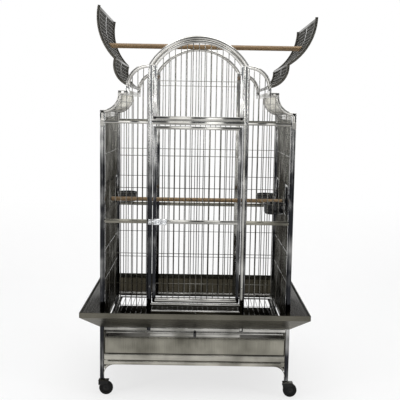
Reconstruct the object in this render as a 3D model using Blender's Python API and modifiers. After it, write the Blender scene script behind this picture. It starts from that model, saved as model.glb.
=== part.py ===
# Victorian top bird cage on a wheeled stand, with an opening play top.
# Metres, +Z up, the front faces -Y, the origin lies on the floor under the middle of the cage.
import math

import bmesh
import bpy
from mathutils import Matrix, Vector

# Running gap between neighbours that touch on the real object
GAP = 0.0003
# Set-back that keeps two fused faces from lying in one plane
STEP = 0.0002
# How far a bore runs out past the solid it is cut from
CUT_PAST = 0.01
# How deep a fused piece is sunk into the next
SINK = 0.001

# Overall sizes
CAGE_WIDTH = 1.016
CAGE_DEPTH = 0.762
CORNER_POST = 0.022
LEG_FOOT_Z = 0.087
POST_SEAM_Z = 1.445
CORNER_TOP_Z = 1.528
ARCH_CROWN_Z = 1.912

# Heights of the rails, bottom and top
BODY_FOOT = (0.359, 0.378)
LOWER_SILL = (0.452, 0.469)
UPPER_SILL = (0.494, 0.510)
MIDDLE_RAIL = (0.939, 0.960)
BAY_HEAD = (1.460, 1.476)
HEADER = (1.457, 1.480)
UPPER_STRETCHER = (0.195, 0.229)
LOWER_STRETCHER = (0.168, 0.190)
GUSSET_RADIUS = 0.055
GUSSET_TIP = 0.003
SLIT_INSET = 0.020

# Wall panels: a frame of this depth, with bars behind the rails and cross wires behind the bars
PANEL_DEPTH = 0.0185
RAIL_DEPTH = 0.0095
BAR_RADIUS = 0.0023
BAR_INSET = 0.0123
WIRE_RADIUS = 0.0016
WIRE_INSET = 0.0166
EDGE_STRIP = 0.004
BAR_PITCH = 0.0305
BAR_SIDES = 5
SIDE_GAPS = 23
BAR_SINK = 0.006
CROSS_WIRE_ZS = (0.615, 0.777, 1.126, 1.295)

# Centre of the front: posts, arch, the grille in the arch and the door
CENTRE_HALF = 0.256
CENTRE_POST = 0.022
ARCH_RISE = 0.145
ARCH_BAND = 0.020
STILE = 0.0195
INNER_BAND = 0.018
ARCH_GRILLE_SILL = 0.021
ARCH_WIRE_Z = 1.682
DOOR_SIDE_GAP = 0.0025
DOOR_FOOT_GAP = 0.005
DOOR_HEAD_GAP = 0.006
DOOR_DEPTH = 0.0200
DOOR_FOOT_RAIL = 0.022
DOOR_HEAD_RAIL = 0.018
DOOR_PIN_INSET = 0.0045
DOOR_PIN_RADIUS = 0.0020
DOOR_PIN_DEPTH = 0.016

# Shoulders and scoops of the roof line
SHOULDER_RADIUS = 0.119
SHOULDER_BAND = 0.020
CAP_Z = (1.610, 1.630)
SCOOP_RADIUS = 0.084
SCOOP_BAND = 0.018
SCOOP_WIRE_PITCH = 0.0325
SCOOP_WIRE_SINK = (0.004, 0.006)

# Opening roof halves
ROOF_END_GAP = 0.0010
ROOF_INSET = 0.0040
ROOF_BAND = 0.014
ROOF_WIRE_RADIUS = 0.0018
ROOF_GAPS = 21
ROOF_TIP_GAP = 0.012
ROOF_TIP = (0.016, 0.006)
ROOF_TIP_STEP = 0.0006
ROOF_WIRE_INSET = 0.0040
ROOF_BRACE = (0.010, 0.005)
ROOF_FOOT_DROP = 0.002
HINGE_RISE = 0.010
HINGE_ROD_RADIUS = 0.0030
HINGE_BARREL_RADIUS = 0.0080
LEFT_OPEN_DEG = 76.0
RIGHT_OPEN_DEG = 88.6

# Perches
PERCH_SIDE_CLEARANCE = 0.0004
TOP_PERCH_PAST = (0.015, 0.080)
INNER_PERCH_RADIUS = 0.0117
INNER_PERCH_Z = 1.0225
PERCH_WASHER_RADIUS = 0.0145
PERCH_WASHER = 0.0020
PERCH_BOLT_RADIUS = 0.0030
PERCH_BOLT_DEPTH = 0.020
WING_HUB_RADIUS = 0.0058
WING_HUB_LENGTH = 0.011
WING_START = 0.004
WING_PAST = 0.004
WING_HALF_SHEET = 0.0013
WING_HALF_SPAN = 0.0125

# Seed skirts
SKIRT_REACH = 0.094
SKIRT_LIP = (0.452, 0.478)
SKIRT_SHEET = 0.0016
SKIRT_MITRE_GAP = 0.0012
SKIRT_FOOT_UP = 0.0010

# Floor grate, tray and their runners
SHEET = 0.0020
TRAY_SHELF = 0.024
TRAY_SIDE_GAP = 0.0037
TRAY_PAN_HEIGHT = 0.058
TRAY_FACE_Z = (0.2345, 0.3260)
TRAY_SHEET = 0.0015
TRAY_FACE_SHEET = 0.0030
TRAY_BACK_GAP = 0.0020
GRATE_SHELF_Z = 0.342
GRATE_RAIL = (0.010, 0.008)
GRATE_WIRE_RADIUS = 0.0016
GRATE_GAPS = 31
GRATE_CROSS_RADIUS = 0.0010
GRATE_CROSS_YS = (-0.190, 0.0, 0.190)
GRATE_BACK_GAP = 0.0040
PULL_HALF = 0.241
PULL_DROP = 0.0155
TAB_HALF = 0.0078
TAB_Z = (0.3285, 0.3640)
TAB_SHEET = 0.0025

# Feeder doors, cup rings and cups
FEEDER_OPENING = 0.130
FEEDER_Z = (0.987, 1.125)
FEEDER_RAIL = 0.012
FEEDER_JAMB = 0.008
FEEDER_CLEAR = 0.0020
FEEDER_DOOR_DEPTH = 0.0080
FEEDER_DOOR_RIM = 0.008
FEEDER_PIN_INSET = 0.0035
FEEDER_PIN_RADIUS = 0.0016
FEEDER_PIN_DEPTH = 0.0096
FEEDER_BAR_RADIUS = 0.0016
CUP_RADIUS = 0.0575
CUP_RIM_RADIUS = 0.0625
CUP_HEIGHT = 0.058
CUP_WALL = 0.0022
CUP_FOOT_RADIUS = 0.046
CUP_FOOT_CURVE = 0.010
CUP_RIM_UP = 0.049
CUP_LIP = 0.004
RING_WIRE = 0.0022
RING_ARM_WIRE = 0.0020
RING_ARM_HALF = 0.032
RING_ARM_SPREAD = 0.012
RING_ARM_DROP = 0.010
RING_ARM_STAND = 0.005
RING_PLATE = 0.007
RING_PLATE_PAST = 0.018
CUP_WALL_GAP = 0.0030
CUP_FROM_BACK_POST = 0.097
CUP_FROM_FRONT_POST = 0.154

# Door latch
LATCH_HEIGHT = 0.032
LATCH_DEPTH = 0.014
LATCH_LENGTH = 0.069
LATCH_INSET = 0.0055
LATCH_KNOB_IN = 0.028
LATCH_END_WALL = 0.004
KEEPER_INSET = 0.0025
KEEPER_HEIGHT = 0.028
BOLT_RADIUS = 0.0038
BOLT_TRAVEL = 0.016
BOLT_TAIL_GAP = 0.002
KNOB_RADIUS = 0.0060
KNOB_STEM_RADIUS = 0.0022
KNOB_LENGTH = 0.007
KNOB_STAND_OFF = 0.003
BOLT_TIP_GAP = 0.0015

# Casters
WHEEL_RADIUS = 0.0375
WHEEL_WIDTH = 0.024
CASTER_TRAIL = 0.022
AXLE_RADIUS = 0.0040
FORK_PLATE = 0.003
FORK_SIDE_GAP = 0.0020
FORK_CROWN = 0.006
FORK_TOP_PLATE = 0.004
FORK_PIVOT_RADIUS = 0.016
FORK_HUB_RADIUS = 0.010
FORK_BACK = 0.018
FORK_FRONT = 0.014
AXLE_PAST = 0.003
WHEEL_HUB = (0.012, 0.014)
WHEEL_HUB_PROUD = 0.001
WHEEL_DISH = 0.002
WHEEL_SHOULDER = (0.005, 0.006)

# Small bolts that hold the arch grille on the header
SMALL_BOLT_HEAD = 0.0045
SMALL_BOLT_HEAD_HEIGHT = 0.0030
SMALL_BOLT_SHANK = 0.0020
SMALL_BOLT_DEPTH = 0.0095

HALF_WIDTH = CAGE_WIDTH / 2
HALF_DEPTH = CAGE_DEPTH / 2
POST_INNER_X = HALF_WIDTH - CORNER_POST
POST_INNER_Y = HALF_DEPTH - CORNER_POST
CENTRE_INNER = CENTRE_HALF - CENTRE_POST
ARCH_RADIUS = (CENTRE_HALF ** 2 + ARCH_RISE ** 2) / (2 * ARCH_RISE)
ARCH_CENTRE_Z = ARCH_CROWN_Z - ARCH_RADIUS
SPRING_Z = ARCH_CROWN_Z - ARCH_RISE
SHOULDER_CENTRE_Z = SPRING_Z - SHOULDER_RADIUS
SHOULDER_OUT_X = CENTRE_HALF + SHOULDER_RADIUS
SCOOP_CENTRE_X = HALF_WIDTH - 0.008
SCOOP_CENTRE_Z = CORNER_TOP_Z + SCOOP_RADIUS
CAP_OUT_X = SCOOP_CENTRE_X - SCOOP_RADIUS
CUP_RIM_Z = FEEDER_Z[0] + CUP_RIM_UP
BACK_CUP_Y = POST_INNER_Y - CUP_FROM_BACK_POST
FRONT_CUP_Y = CUP_FROM_FRONT_POST - POST_INNER_Y
CUP_PLACES = (("left_back", -1, BACK_CUP_Y), ("right_back", 1, BACK_CUP_Y), ("right_front", 1, FRONT_CUP_Y))
HINGE_X = SHOULDER_OUT_X - SHOULDER_BAND / 2
HINGE_Z = SHOULDER_CENTRE_Z + HINGE_RISE
TOP_PERCH_X = (-HALF_WIDTH - TOP_PERCH_PAST[0], HALF_WIDTH + TOP_PERCH_PAST[1])
TRAY_HALF = POST_INNER_X - GAP - SHEET - TRAY_SIDE_GAP
DOOR_HALF = CENTRE_INNER - DOOR_SIDE_GAP
DOOR_Z = (UPPER_SILL[1] + DOOR_FOOT_GAP, HEADER[0] - DOOR_HEAD_GAP)
LATCH_Z = (MIDDLE_RAIL[0] + MIDDLE_RAIL[1]) / 2
LATCH_BODY_X = (-DOOR_HALF + LATCH_INSET, -DOOR_HALF + LATCH_INSET + LATCH_LENGTH)
LATCH_KNOB_X = LATCH_BODY_X[0] + LATCH_KNOB_IN
KEEPER_X = (-CENTRE_HALF + KEEPER_INSET, -CENTRE_INNER - KEEPER_INSET)

COLOURS = {
    "steel": ((0.62, 0.61, 0.58), 0.22, 1.0),
    "dark_steel": ((0.35, 0.34, 0.32), 0.30, 1.0),
    "sheet_steel": ((0.50, 0.49, 0.46), 0.30, 1.0),
    "wood": ((0.42, 0.24, 0.10), 0.55, 0.0),
    "black_plastic": ((0.02, 0.02, 0.02), 0.30, 0.0),
    "rubber": ((0.03, 0.03, 0.03), 0.70, 0.0),
}


# Scene and materials

def clear_scene():
    for old in list(bpy.data.objects):
        bpy.data.objects.remove(old, do_unlink=True)


def new_collection(name):
    made = bpy.data.collections.new(name)
    bpy.context.scene.collection.children.link(made)
    return made


clear_scene()
PARTS = new_collection("victorian_top_bird_cage")
CUTTERS = new_collection("cutters")


def material(kind):
    found = bpy.data.materials.get(kind)
    if found:
        return found
    made = bpy.data.materials.new(kind)
    made.use_nodes = True
    shader = made.node_tree.nodes["Principled BSDF"]
    colour, roughness, metallic = COLOURS[kind]
    shader.inputs["Base Color"].default_value = (*colour, 1.0)
    shader.inputs["Roughness"].default_value = roughness
    shader.inputs["Metallic"].default_value = metallic
    made.diffuse_color = (*colour, 1.0)
    return made


# Meshes: each helper returns a mesh in world coordinates

def mesh_from_bmesh(name, build):
    bm = bmesh.new()
    build(bm)
    mesh = bpy.data.meshes.new(name)
    bm.to_mesh(mesh)
    bm.free()
    return mesh


def mesh_from_object(source):
    """The evaluated shape of an object as a welded mesh in world coordinates; the object goes."""
    PARTS.objects.link(source)
    graph = bpy.context.evaluated_depsgraph_get()
    mesh = bpy.data.meshes.new_from_object(source.evaluated_get(graph))
    mesh.transform(source.matrix_world)
    bm = bmesh.new()
    bm.from_mesh(mesh)
    bmesh.ops.remove_doubles(bm, verts=bm.verts, dist=0.00001)
    bm.to_mesh(mesh)
    bm.free()
    bpy.data.objects.remove(source, do_unlink=True)
    return mesh


def box_mesh(name, xs, ys, zs):
    size = Vector((xs[1] - xs[0], ys[1] - ys[0], zs[1] - zs[0]))
    centre = Vector((xs[0] + xs[1], ys[0] + ys[1], zs[0] + zs[1])) / 2
    place = Matrix.Translation(centre) @ Matrix.Diagonal((*size, 1.0))
    return mesh_from_bmesh(name, lambda bm: bmesh.ops.create_cube(bm, size=1.0, matrix=place))


def add_rod(bm, start, end, radius, sides=6, turn=0.0):
    """A round bar between two points, with closed ends."""
    start = Vector(start)
    along = Vector(end) - start
    spin = along.to_track_quat("Z", "Y").to_matrix().to_4x4() @ Matrix.Rotation(turn, 4, "Z")
    place = Matrix.Translation(start + along / 2) @ spin
    bmesh.ops.create_cone(bm, cap_ends=True, cap_tris=False, segments=sides, radius1=radius,
                          radius2=radius, depth=along.length, matrix=place)


def rods_mesh(name, rods, radius, sides=6):
    def build(bm):
        for start, end in rods:
            add_rod(bm, start, end, radius, sides, math.pi / sides)
    return mesh_from_bmesh(name, build)


def outline_mesh(name, loops, thickness, frame, at):
    """A flat outline with holes, extruded; frame turns local XY into the wall's own plane."""
    curve = bpy.data.curves.new(name, "CURVE")
    curve.dimensions = "2D"
    curve.fill_mode = "BOTH"
    curve.extrude = thickness / 2
    for points in loops:
        spline = curve.splines.new("POLY")
        spline.points.add(len(points) - 1)
        for slot, (u, v) in zip(spline.points, points):
            slot.co = (u, v, 0.0, 1.0)
        spline.use_cyclic_u = True
    shape = bpy.data.objects.new(name, curve)
    shape.matrix_world = Matrix.Translation(Vector(at)) @ frame
    return mesh_from_object(shape)


def tube_mesh(name, paths, radius, sides_level=0):
    """Bent wires along point lists, all in one mesh."""
    curve = bpy.data.curves.new(name, "CURVE")
    curve.dimensions = "3D"
    curve.bevel_depth = radius
    curve.bevel_resolution = sides_level
    curve.use_fill_caps = True
    for points in paths:
        spline = curve.splines.new("POLY")
        spline.points.add(len(points) - 1)
        for slot, point in zip(spline.points, points):
            slot.co = (*point, 1.0)
    return mesh_from_object(bpy.data.objects.new(name, curve))


def ring_tube_mesh(name, centre, radius, wire, steps=20):
    """A closed ring of wire lying level."""
    curve = bpy.data.curves.new(name, "CURVE")
    curve.dimensions = "3D"
    curve.bevel_depth = wire
    curve.bevel_resolution = 0
    spline = curve.splines.new("POLY")
    spline.points.add(steps - 1)
    for index, slot in enumerate(spline.points):
        angle = 2 * math.pi * index / steps
        x, y = centre[0] + radius * math.cos(angle), centre[1] + radius * math.sin(angle)
        slot.co = (x, y, centre[2], 1.0)
    spline.use_cyclic_u = True
    return mesh_from_object(bpy.data.objects.new(name, curve))


def turned_mesh(name, profile, steps, closed=False):
    """A profile of (radius, height) pairs, down its outer side, turned about Z."""
    def build(bm):
        verts = [bm.verts.new((radius, 0.0, height)) for radius, height in profile]
        for first, second in zip(verts, verts[1:]):
            if first.co.x > 0.0 or second.co.x > 0.0:
                bm.edges.new((first, second))
        if closed:
            bm.edges.new((verts[-1], verts[0]))
    shape = bpy.data.objects.new(name, mesh_from_bmesh(name, build))
    screw = shape.modifiers.new("turn", "SCREW")
    screw.axis = "Z"
    screw.steps = steps
    screw.render_steps = steps
    screw.use_merge_vertices = True
    screw.merge_threshold = 0.00001
    screw.use_normal_calculate = False
    return mesh_from_object(shape)


XZ_WALL = Matrix.Rotation(math.radians(90), 4, "X")
YZ_WALL = Matrix(((0, 0, 1, 0), (1, 0, 0, 0), (0, 1, 0, 0), (0, 0, 0, 1)))
XY_WALL = Matrix.Identity(4)


# Objects: booleans stay as modifiers, their operands lie in the cutters collection

def helper(name, mesh):
    made = bpy.data.objects.new(name, mesh)
    made.hide_render = True
    made.display_type = "WIRE"
    CUTTERS.objects.link(made)
    return made


def change(base, operation, name, mesh):
    cut = base.modifiers.new(name, "BOOLEAN")
    cut.operation = operation
    cut.solver = "EXACT"
    cut.object = helper(base.name + "_" + name, mesh)


def piece(name, mesh, kind, joins=(), cuts=(), origin=(0.0, 0.0, 0.0)):
    """One named solid: joins are fused on, cuts are taken out, the origin goes to its joint."""
    base = bpy.data.objects.new(name, mesh)
    for index, extra in enumerate(joins):
        change(base, "UNION", f"join_{index}", extra)
    for index, extra in enumerate(cuts):
        change(base, "DIFFERENCE", f"cut_{index}", extra)
    PARTS.objects.link(base)
    if joins or cuts:
        graph = bpy.context.evaluated_depsgraph_get()
        finished = bpy.data.meshes.new_from_object(base.evaluated_get(graph))
        base.modifiers.clear()
        base.data = finished
    base.data.name = name
    base.data.transform(Matrix.Translation(-Vector(origin)))
    base.location = origin
    base.data.materials.clear()
    base.data.materials.append(material(kind))
    base.data.shade_smooth()
    base.data.set_sharp_from_angle(angle=math.radians(35))
    return base


# Outline helpers

def arc(centre_u, centre_v, radius, start_deg, end_deg, steps):
    points = []
    for index in range(steps + 1):
        angle = math.radians(start_deg + (end_deg - start_deg) * index / steps)
        points.append((centre_u + radius * math.cos(angle), centre_v + radius * math.sin(angle)))
    return points


def rectangle(u0, u1, v0, v1):
    return [(u0, v0), (u1, v0), (u1, v1), (u0, v1)]


def mirror_u(points):
    return [(-u, v) for u, v in reversed(points)]


def height_on(centre_u, centre_v, radius, u):
    return centre_v + math.sqrt(radius ** 2 - (u - centre_u) ** 2)


def arch_over(radius, half, steps=14):
    """Points of the main arch from +half to -half."""
    reach = math.degrees(math.asin(half / radius))
    return arc(0.0, ARCH_CENTRE_Z, radius, 90 - reach, 90 + reach, steps)


def spaced(low, high, pitch):
    """Even places between two edges, with a gap of about the pitch at each end."""
    gaps = max(2, round((high - low) / pitch))
    return [low + (high - low) * index / gaps for index in range(1, gaps)]


# Wall panels

def wall_place(outer_y, inward, depth_in):
    return outer_y + inward * depth_in


def wall_rail(name, xs, zs, outer_y, inward):
    near = wall_place(outer_y, inward, 0.0)
    far = wall_place(outer_y, inward, RAIL_DEPTH)
    return box_mesh(name, xs, sorted((near, far)), zs)


def wall_bars(name, bars, outer_y, inward):
    y = wall_place(outer_y, inward, BAR_INSET)
    rods = [((x, y, low), (x, y, high)) for x, low, high in bars]
    return rods_mesh(name, rods, BAR_RADIUS, BAR_SIDES)


def wall_wires(name, wires, outer_y, inward):
    y = wall_place(outer_y, inward, WIRE_INSET)
    rods = [((x0, y, z), (x1, y, z)) for x0, x1, z in wires]
    return rods_mesh(name, rods, WIRE_RADIUS, 4)


def bay_outline(side):
    """Front bay from the body foot up to the scoop, the cap and the shoulder; drawn for the left."""
    scoop_u = -SCOOP_CENTRE_X
    outer = [(-POST_INNER_X + GAP, BODY_FOOT[0]), (-CENTRE_HALF - GAP, BODY_FOOT[0])]
    outer += arc(-CENTRE_HALF - GAP, SHOULDER_CENTRE_Z, SHOULDER_RADIUS, 90, 180, 7)
    outer += [(-SHOULDER_OUT_X - GAP, CAP_Z[1]), (-CAP_OUT_X, CAP_Z[1])]
    outer += arc(scoop_u, SCOOP_CENTRE_Z, SCOOP_RADIUS, 0, -90, 6)
    outer += [(-HALF_WIDTH, CORNER_TOP_Z), (-HALF_WIDTH, POST_SEAM_Z + GAP)]
    outer += [(-POST_INNER_X + GAP, POST_SEAM_Z + GAP)]
    left = -POST_INNER_X + GAP + EDGE_STRIP
    right = -CENTRE_HALF - GAP - EDGE_STRIP
    inner_radius = SHOULDER_RADIUS - SHOULDER_BAND
    start = math.degrees(math.acos((right + CENTRE_HALF + GAP) / inner_radius))
    hole = [(left, BODY_FOOT[1]), (right, BODY_FOOT[1])]
    hole += arc(-CENTRE_HALF - GAP, SHOULDER_CENTRE_Z, inner_radius, start, 180, 6)
    hole += [(-SHOULDER_OUT_X + SHOULDER_BAND - GAP, CAP_Z[0])]
    scoop_inner = SCOOP_RADIUS + SCOOP_BAND
    dip = math.degrees(math.asin((SCOOP_CENTRE_Z - CAP_Z[0]) / scoop_inner))
    reach = math.degrees(math.acos((left - scoop_u) / scoop_inner))
    hole += arc(scoop_u, SCOOP_CENTRE_Z, scoop_inner, -dip, -reach, 5)
    return (outer, hole) if side < 0 else (mirror_u(outer), mirror_u(hole))


def roof_line(x):
    """Height of the middle of the roof line's band over a bay."""
    u = abs(x)
    if u < SHOULDER_OUT_X - SHOULDER_BAND:
        return height_on(CENTRE_HALF, SHOULDER_CENTRE_Z, SHOULDER_RADIUS - SHOULDER_BAND / 2, u)
    if u < CAP_OUT_X:
        return (CAP_Z[0] + CAP_Z[1]) / 2
    scoop_mid = SCOOP_RADIUS + SCOOP_BAND / 2
    return SCOOP_CENTRE_Z - math.sqrt(max(0.0, scoop_mid ** 2 - (SCOOP_CENTRE_X - u) ** 2))


def rod_cut(name, x):
    """Bore for the roof hinge rod."""
    ends = [((x, -HALF_DEPTH - CUT_PAST, HINGE_Z), (x, HALF_DEPTH + CUT_PAST, HINGE_Z))]
    return rods_mesh(name, ends, HINGE_ROD_RADIUS + GAP, 8)


def front_bay(side, word):
    name = "front_bay_" + word
    outer, hole = bay_outline(side)
    y = -HALF_DEPTH
    frame = outline_mesh(name, [outer, hole], PANEL_DEPTH, XZ_WALL, (0, y + PANEL_DEPTH / 2, 0))
    low, high = sorted((side * (CENTRE_HALF + GAP), side * (POST_INNER_X - GAP)))
    ends = (low + EDGE_STRIP / 2, high - EDGE_STRIP / 2)
    foot = BODY_FOOT[1] - BAR_SINK
    bars = [(x, foot, roof_line(x)) for x in spaced(low, high, BAR_PITCH)]
    wires = [(*ends, z) for z in CROSS_WIRE_ZS]
    rails = [wall_rail(name, ends, zs, y, 1) for zs in (MIDDLE_RAIL, BAY_HEAD)]
    joins = [wall_bars(name, bars, y, 1), wall_wires(name, wires, y, 1)] + rails
    return piece(name, frame, "steel", joins, [rod_cut(name, side * HINGE_X)])


def front_centre_frame():
    name = "front_centre_frame"
    y = -HALF_DEPTH
    outer = [(-CENTRE_HALF, BODY_FOOT[0]), (CENTRE_HALF, BODY_FOOT[0])]
    outer += arch_over(ARCH_RADIUS, CENTRE_HALF, 16)
    arch_hole = [(-CENTRE_INNER, HEADER[1]), (CENTRE_INNER, HEADER[1])]
    arch_hole += arch_over(ARCH_RADIUS - ARCH_BAND, CENTRE_INNER, 14)
    holes = [arch_hole]
    gaps = ((UPPER_SILL[1], HEADER[0]), (LOWER_SILL[1], UPPER_SILL[0]), (BODY_FOOT[1], LOWER_SILL[0]))
    for low, high in gaps:
        holes.append(rectangle(-CENTRE_INNER, CENTRE_INNER, low, high))
    frame = outline_mesh(name, [outer] + holes, CENTRE_POST, XZ_WALL, (0, y + CENTRE_POST / 2, 0))
    low, high = BODY_FOOT[1] - BAR_SINK, LOWER_SILL[0] + BAR_SINK
    bars = [(x, low, high) for x in spaced(-CENTRE_INNER, CENTRE_INNER, BAR_PITCH)]
    pin_x, pin_y = door_pin_place()
    pin_holes = [((pin_x, pin_y, zs[0] - CUT_PAST), (pin_x, pin_y, zs[1] + CUT_PAST))
                 for zs in (HEADER, UPPER_SILL)]
    bolt_holes = [((x, y - CUT_PAST, z), (x, y + CUT_PAST, z)) for x, z in arch_bolt_places()]
    cuts = [rods_mesh(name, pin_holes, DOOR_PIN_RADIUS + GAP, 8),
            rods_mesh(name, bolt_holes, SMALL_BOLT_SHANK + GAP, 8)]
    return piece(name, frame, "steel", [wall_bars(name, bars, y, 1)], cuts)


def arch_bolt_places():
    """Two bolts that pass lugs of the arch grille into the header's ends."""
    z = (HEADER[0] + HEADER[1]) / 2
    x = CENTRE_HALF - CENTRE_POST / 2
    return [(-x, z), (x, z)]


def arch_grille():
    name = "arch_grille"
    y = -HALF_DEPTH
    half = CENTRE_INNER - GAP
    low = HEADER[1] + GAP
    band_radius = ARCH_RADIUS - ARCH_BAND - GAP
    outer = [(-half, low), (half, low)] + arch_over(band_radius, half, 14)
    inner_half = half - STILE
    inner_radius = band_radius - INNER_BAND
    sill = low + ARCH_GRILLE_SILL
    hole = [(-inner_half, sill), (inner_half, sill)] + arch_over(inner_radius, inner_half, 13)
    frame = outline_mesh(name, [outer, hole], PANEL_DEPTH, XZ_WALL, (0, y + PANEL_DEPTH / 2, 0))
    top = inner_radius + INNER_BAND / 2
    bars = [(x, sill - BAR_SINK, height_on(0.0, ARCH_CENTRE_Z, top, x))
            for x in spaced(-inner_half, inner_half, BAR_PITCH)]
    reach = inner_half + STILE / 2
    wires = [(-reach, reach, ARCH_WIRE_Z)]
    joins = [wall_bars(name, bars, y, 1), wall_wires(name, wires, y, 1)]
    return piece(name, frame, "steel", joins)


def arch_bolts():
    made = []
    for word, (x, z) in zip(("left", "right"), arch_bolt_places()):
        face = -HALF_DEPTH - GAP
        head = rods_mesh(word, [((x, face - SMALL_BOLT_HEAD_HEIGHT, z), (x, face, z))], SMALL_BOLT_HEAD, 12)
        ends = ((x, face - SINK, z), (x, face + SMALL_BOLT_DEPTH, z))
        shank = rods_mesh(word, [ends], SMALL_BOLT_SHANK, 8)
        made.append(piece("arch_bolt_" + word, head, "steel", [shank]))
    return made


# Door

def door_pin_place():
    x = DOOR_HALF - DOOR_PIN_INSET
    return x, -HALF_DEPTH + DOOR_PIN_INSET


def door():
    name = "front_door"
    y = -HALF_DEPTH
    half = DOOR_HALF
    low, high = DOOR_Z
    inner = half - STILE
    foot, head = low + DOOR_FOOT_RAIL, high - DOOR_HEAD_RAIL
    loops = [rectangle(-half, half, low, high), rectangle(-inner, inner, foot, head)]
    frame = outline_mesh(name, loops, DOOR_DEPTH, XZ_WALL, (0, y + DOOR_DEPTH / 2, 0))
    bars = [(x, foot - BAR_SINK, head + BAR_SINK) for x in spaced(-inner, inner, BAR_PITCH)]
    reach = inner + STILE / 2
    wires = [(-reach, reach, z) for z in CROSS_WIRE_ZS]
    rail = wall_rail(name, (-reach, reach), MIDDLE_RAIL, y + STEP, 1)
    pin_x, pin_y = door_pin_place()
    holes = [((pin_x, pin_y, high - DOOR_PIN_DEPTH - GAP), (pin_x, pin_y, high + CUT_PAST)),
             ((pin_x, pin_y, low - CUT_PAST), (pin_x, pin_y, low + DOOR_PIN_DEPTH + GAP))]
    joins = [wall_bars(name, bars, y, 1), wall_wires(name, wires, y, 1), rail]
    cuts = [rods_mesh(name, holes, DOOR_PIN_RADIUS + GAP, 8)]
    return piece(name, frame, "steel", joins, cuts, (pin_x, pin_y, low))


def door_pins():
    x, y = door_pin_place()
    upper = [((x, y, DOOR_Z[1] - DOOR_PIN_DEPTH), (x, y, HEADER[1] - GAP))]
    lower = [((x, y, UPPER_SILL[0]), (x, y, DOOR_Z[0] + DOOR_PIN_DEPTH))]
    piece("door_pivot_pin_upper", rods_mesh("upper", upper, DOOR_PIN_RADIUS, 8), "steel")
    piece("door_pivot_pin_lower", rods_mesh("lower", lower, DOOR_PIN_RADIUS, 8), "steel")


# Back wall

def back_panel():
    name = "back_panel"
    y = HALF_DEPTH
    left_outer, left_hole = bay_outline(-1)
    right_outer, right_hole = bay_outline(1)
    shoulder_left = left_outer[2:]
    shoulder_right = right_outer[:-2]
    arch = arch_over(ARCH_RADIUS, CENTRE_HALF, 16)
    outer = shoulder_right + arch + shoulder_left + [left_outer[0]]
    outer = [right_outer[-1]] + outer
    centre_hole = [(-CENTRE_INNER, BODY_FOOT[1]), (CENTRE_INNER, BODY_FOOT[1])]
    centre_hole += arch_over(ARCH_RADIUS - ARCH_BAND, CENTRE_INNER, 13)
    frame = outline_mesh(name, [outer, left_hole, centre_hole, right_hole], PANEL_DEPTH, XZ_WALL,
                         (0, y - PANEL_DEPTH / 2, 0))
    foot = BODY_FOOT[1] - BAR_SINK
    bars = []
    for side in (-1, 1):
        low, high = sorted((side * (CENTRE_HALF + GAP), side * (POST_INNER_X - GAP)))
        bars += [(x, foot, roof_line(x)) for x in spaced(low, high, BAR_PITCH)]
    band = ARCH_RADIUS - ARCH_BAND / 2
    bars += [(x, foot, height_on(0.0, ARCH_CENTRE_Z, band, x))
             for x in spaced(-CENTRE_INNER, CENTRE_INNER, BAR_PITCH)]
    edge = POST_INNER_X - GAP - EDGE_STRIP / 2
    middle = CENTRE_INNER + CENTRE_POST / 2
    wires = [(-edge, edge, z) for z in CROSS_WIRE_ZS]
    wires.append((-middle, middle, ARCH_WIRE_Z))
    rails = [wall_rail(name, (-edge, edge), zs, y - STEP, -1) for zs in (MIDDLE_RAIL, BAY_HEAD)]
    joins = [wall_bars(name, bars, y, -1), wall_wires(name, wires, y, -1)] + rails
    cuts = [rod_cut(name, side * HINGE_X) for side in (-1, 1)]
    return piece(name, frame, "steel", joins, cuts)


# Side walls

def side_rods(name, rods, side, inset, radius, sides=6):
    x = side * (HALF_WIDTH - inset)
    return rods_mesh(name, [((x, y0, z0), (x, y1, z1)) for y0, z0, y1, z1 in rods], radius, sides)


def side_box(name, side, depth, ys, zs):
    xs = sorted((side * HALF_WIDTH, side * (HALF_WIDTH - depth)))
    return box_mesh(name, xs, ys, zs)


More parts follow.
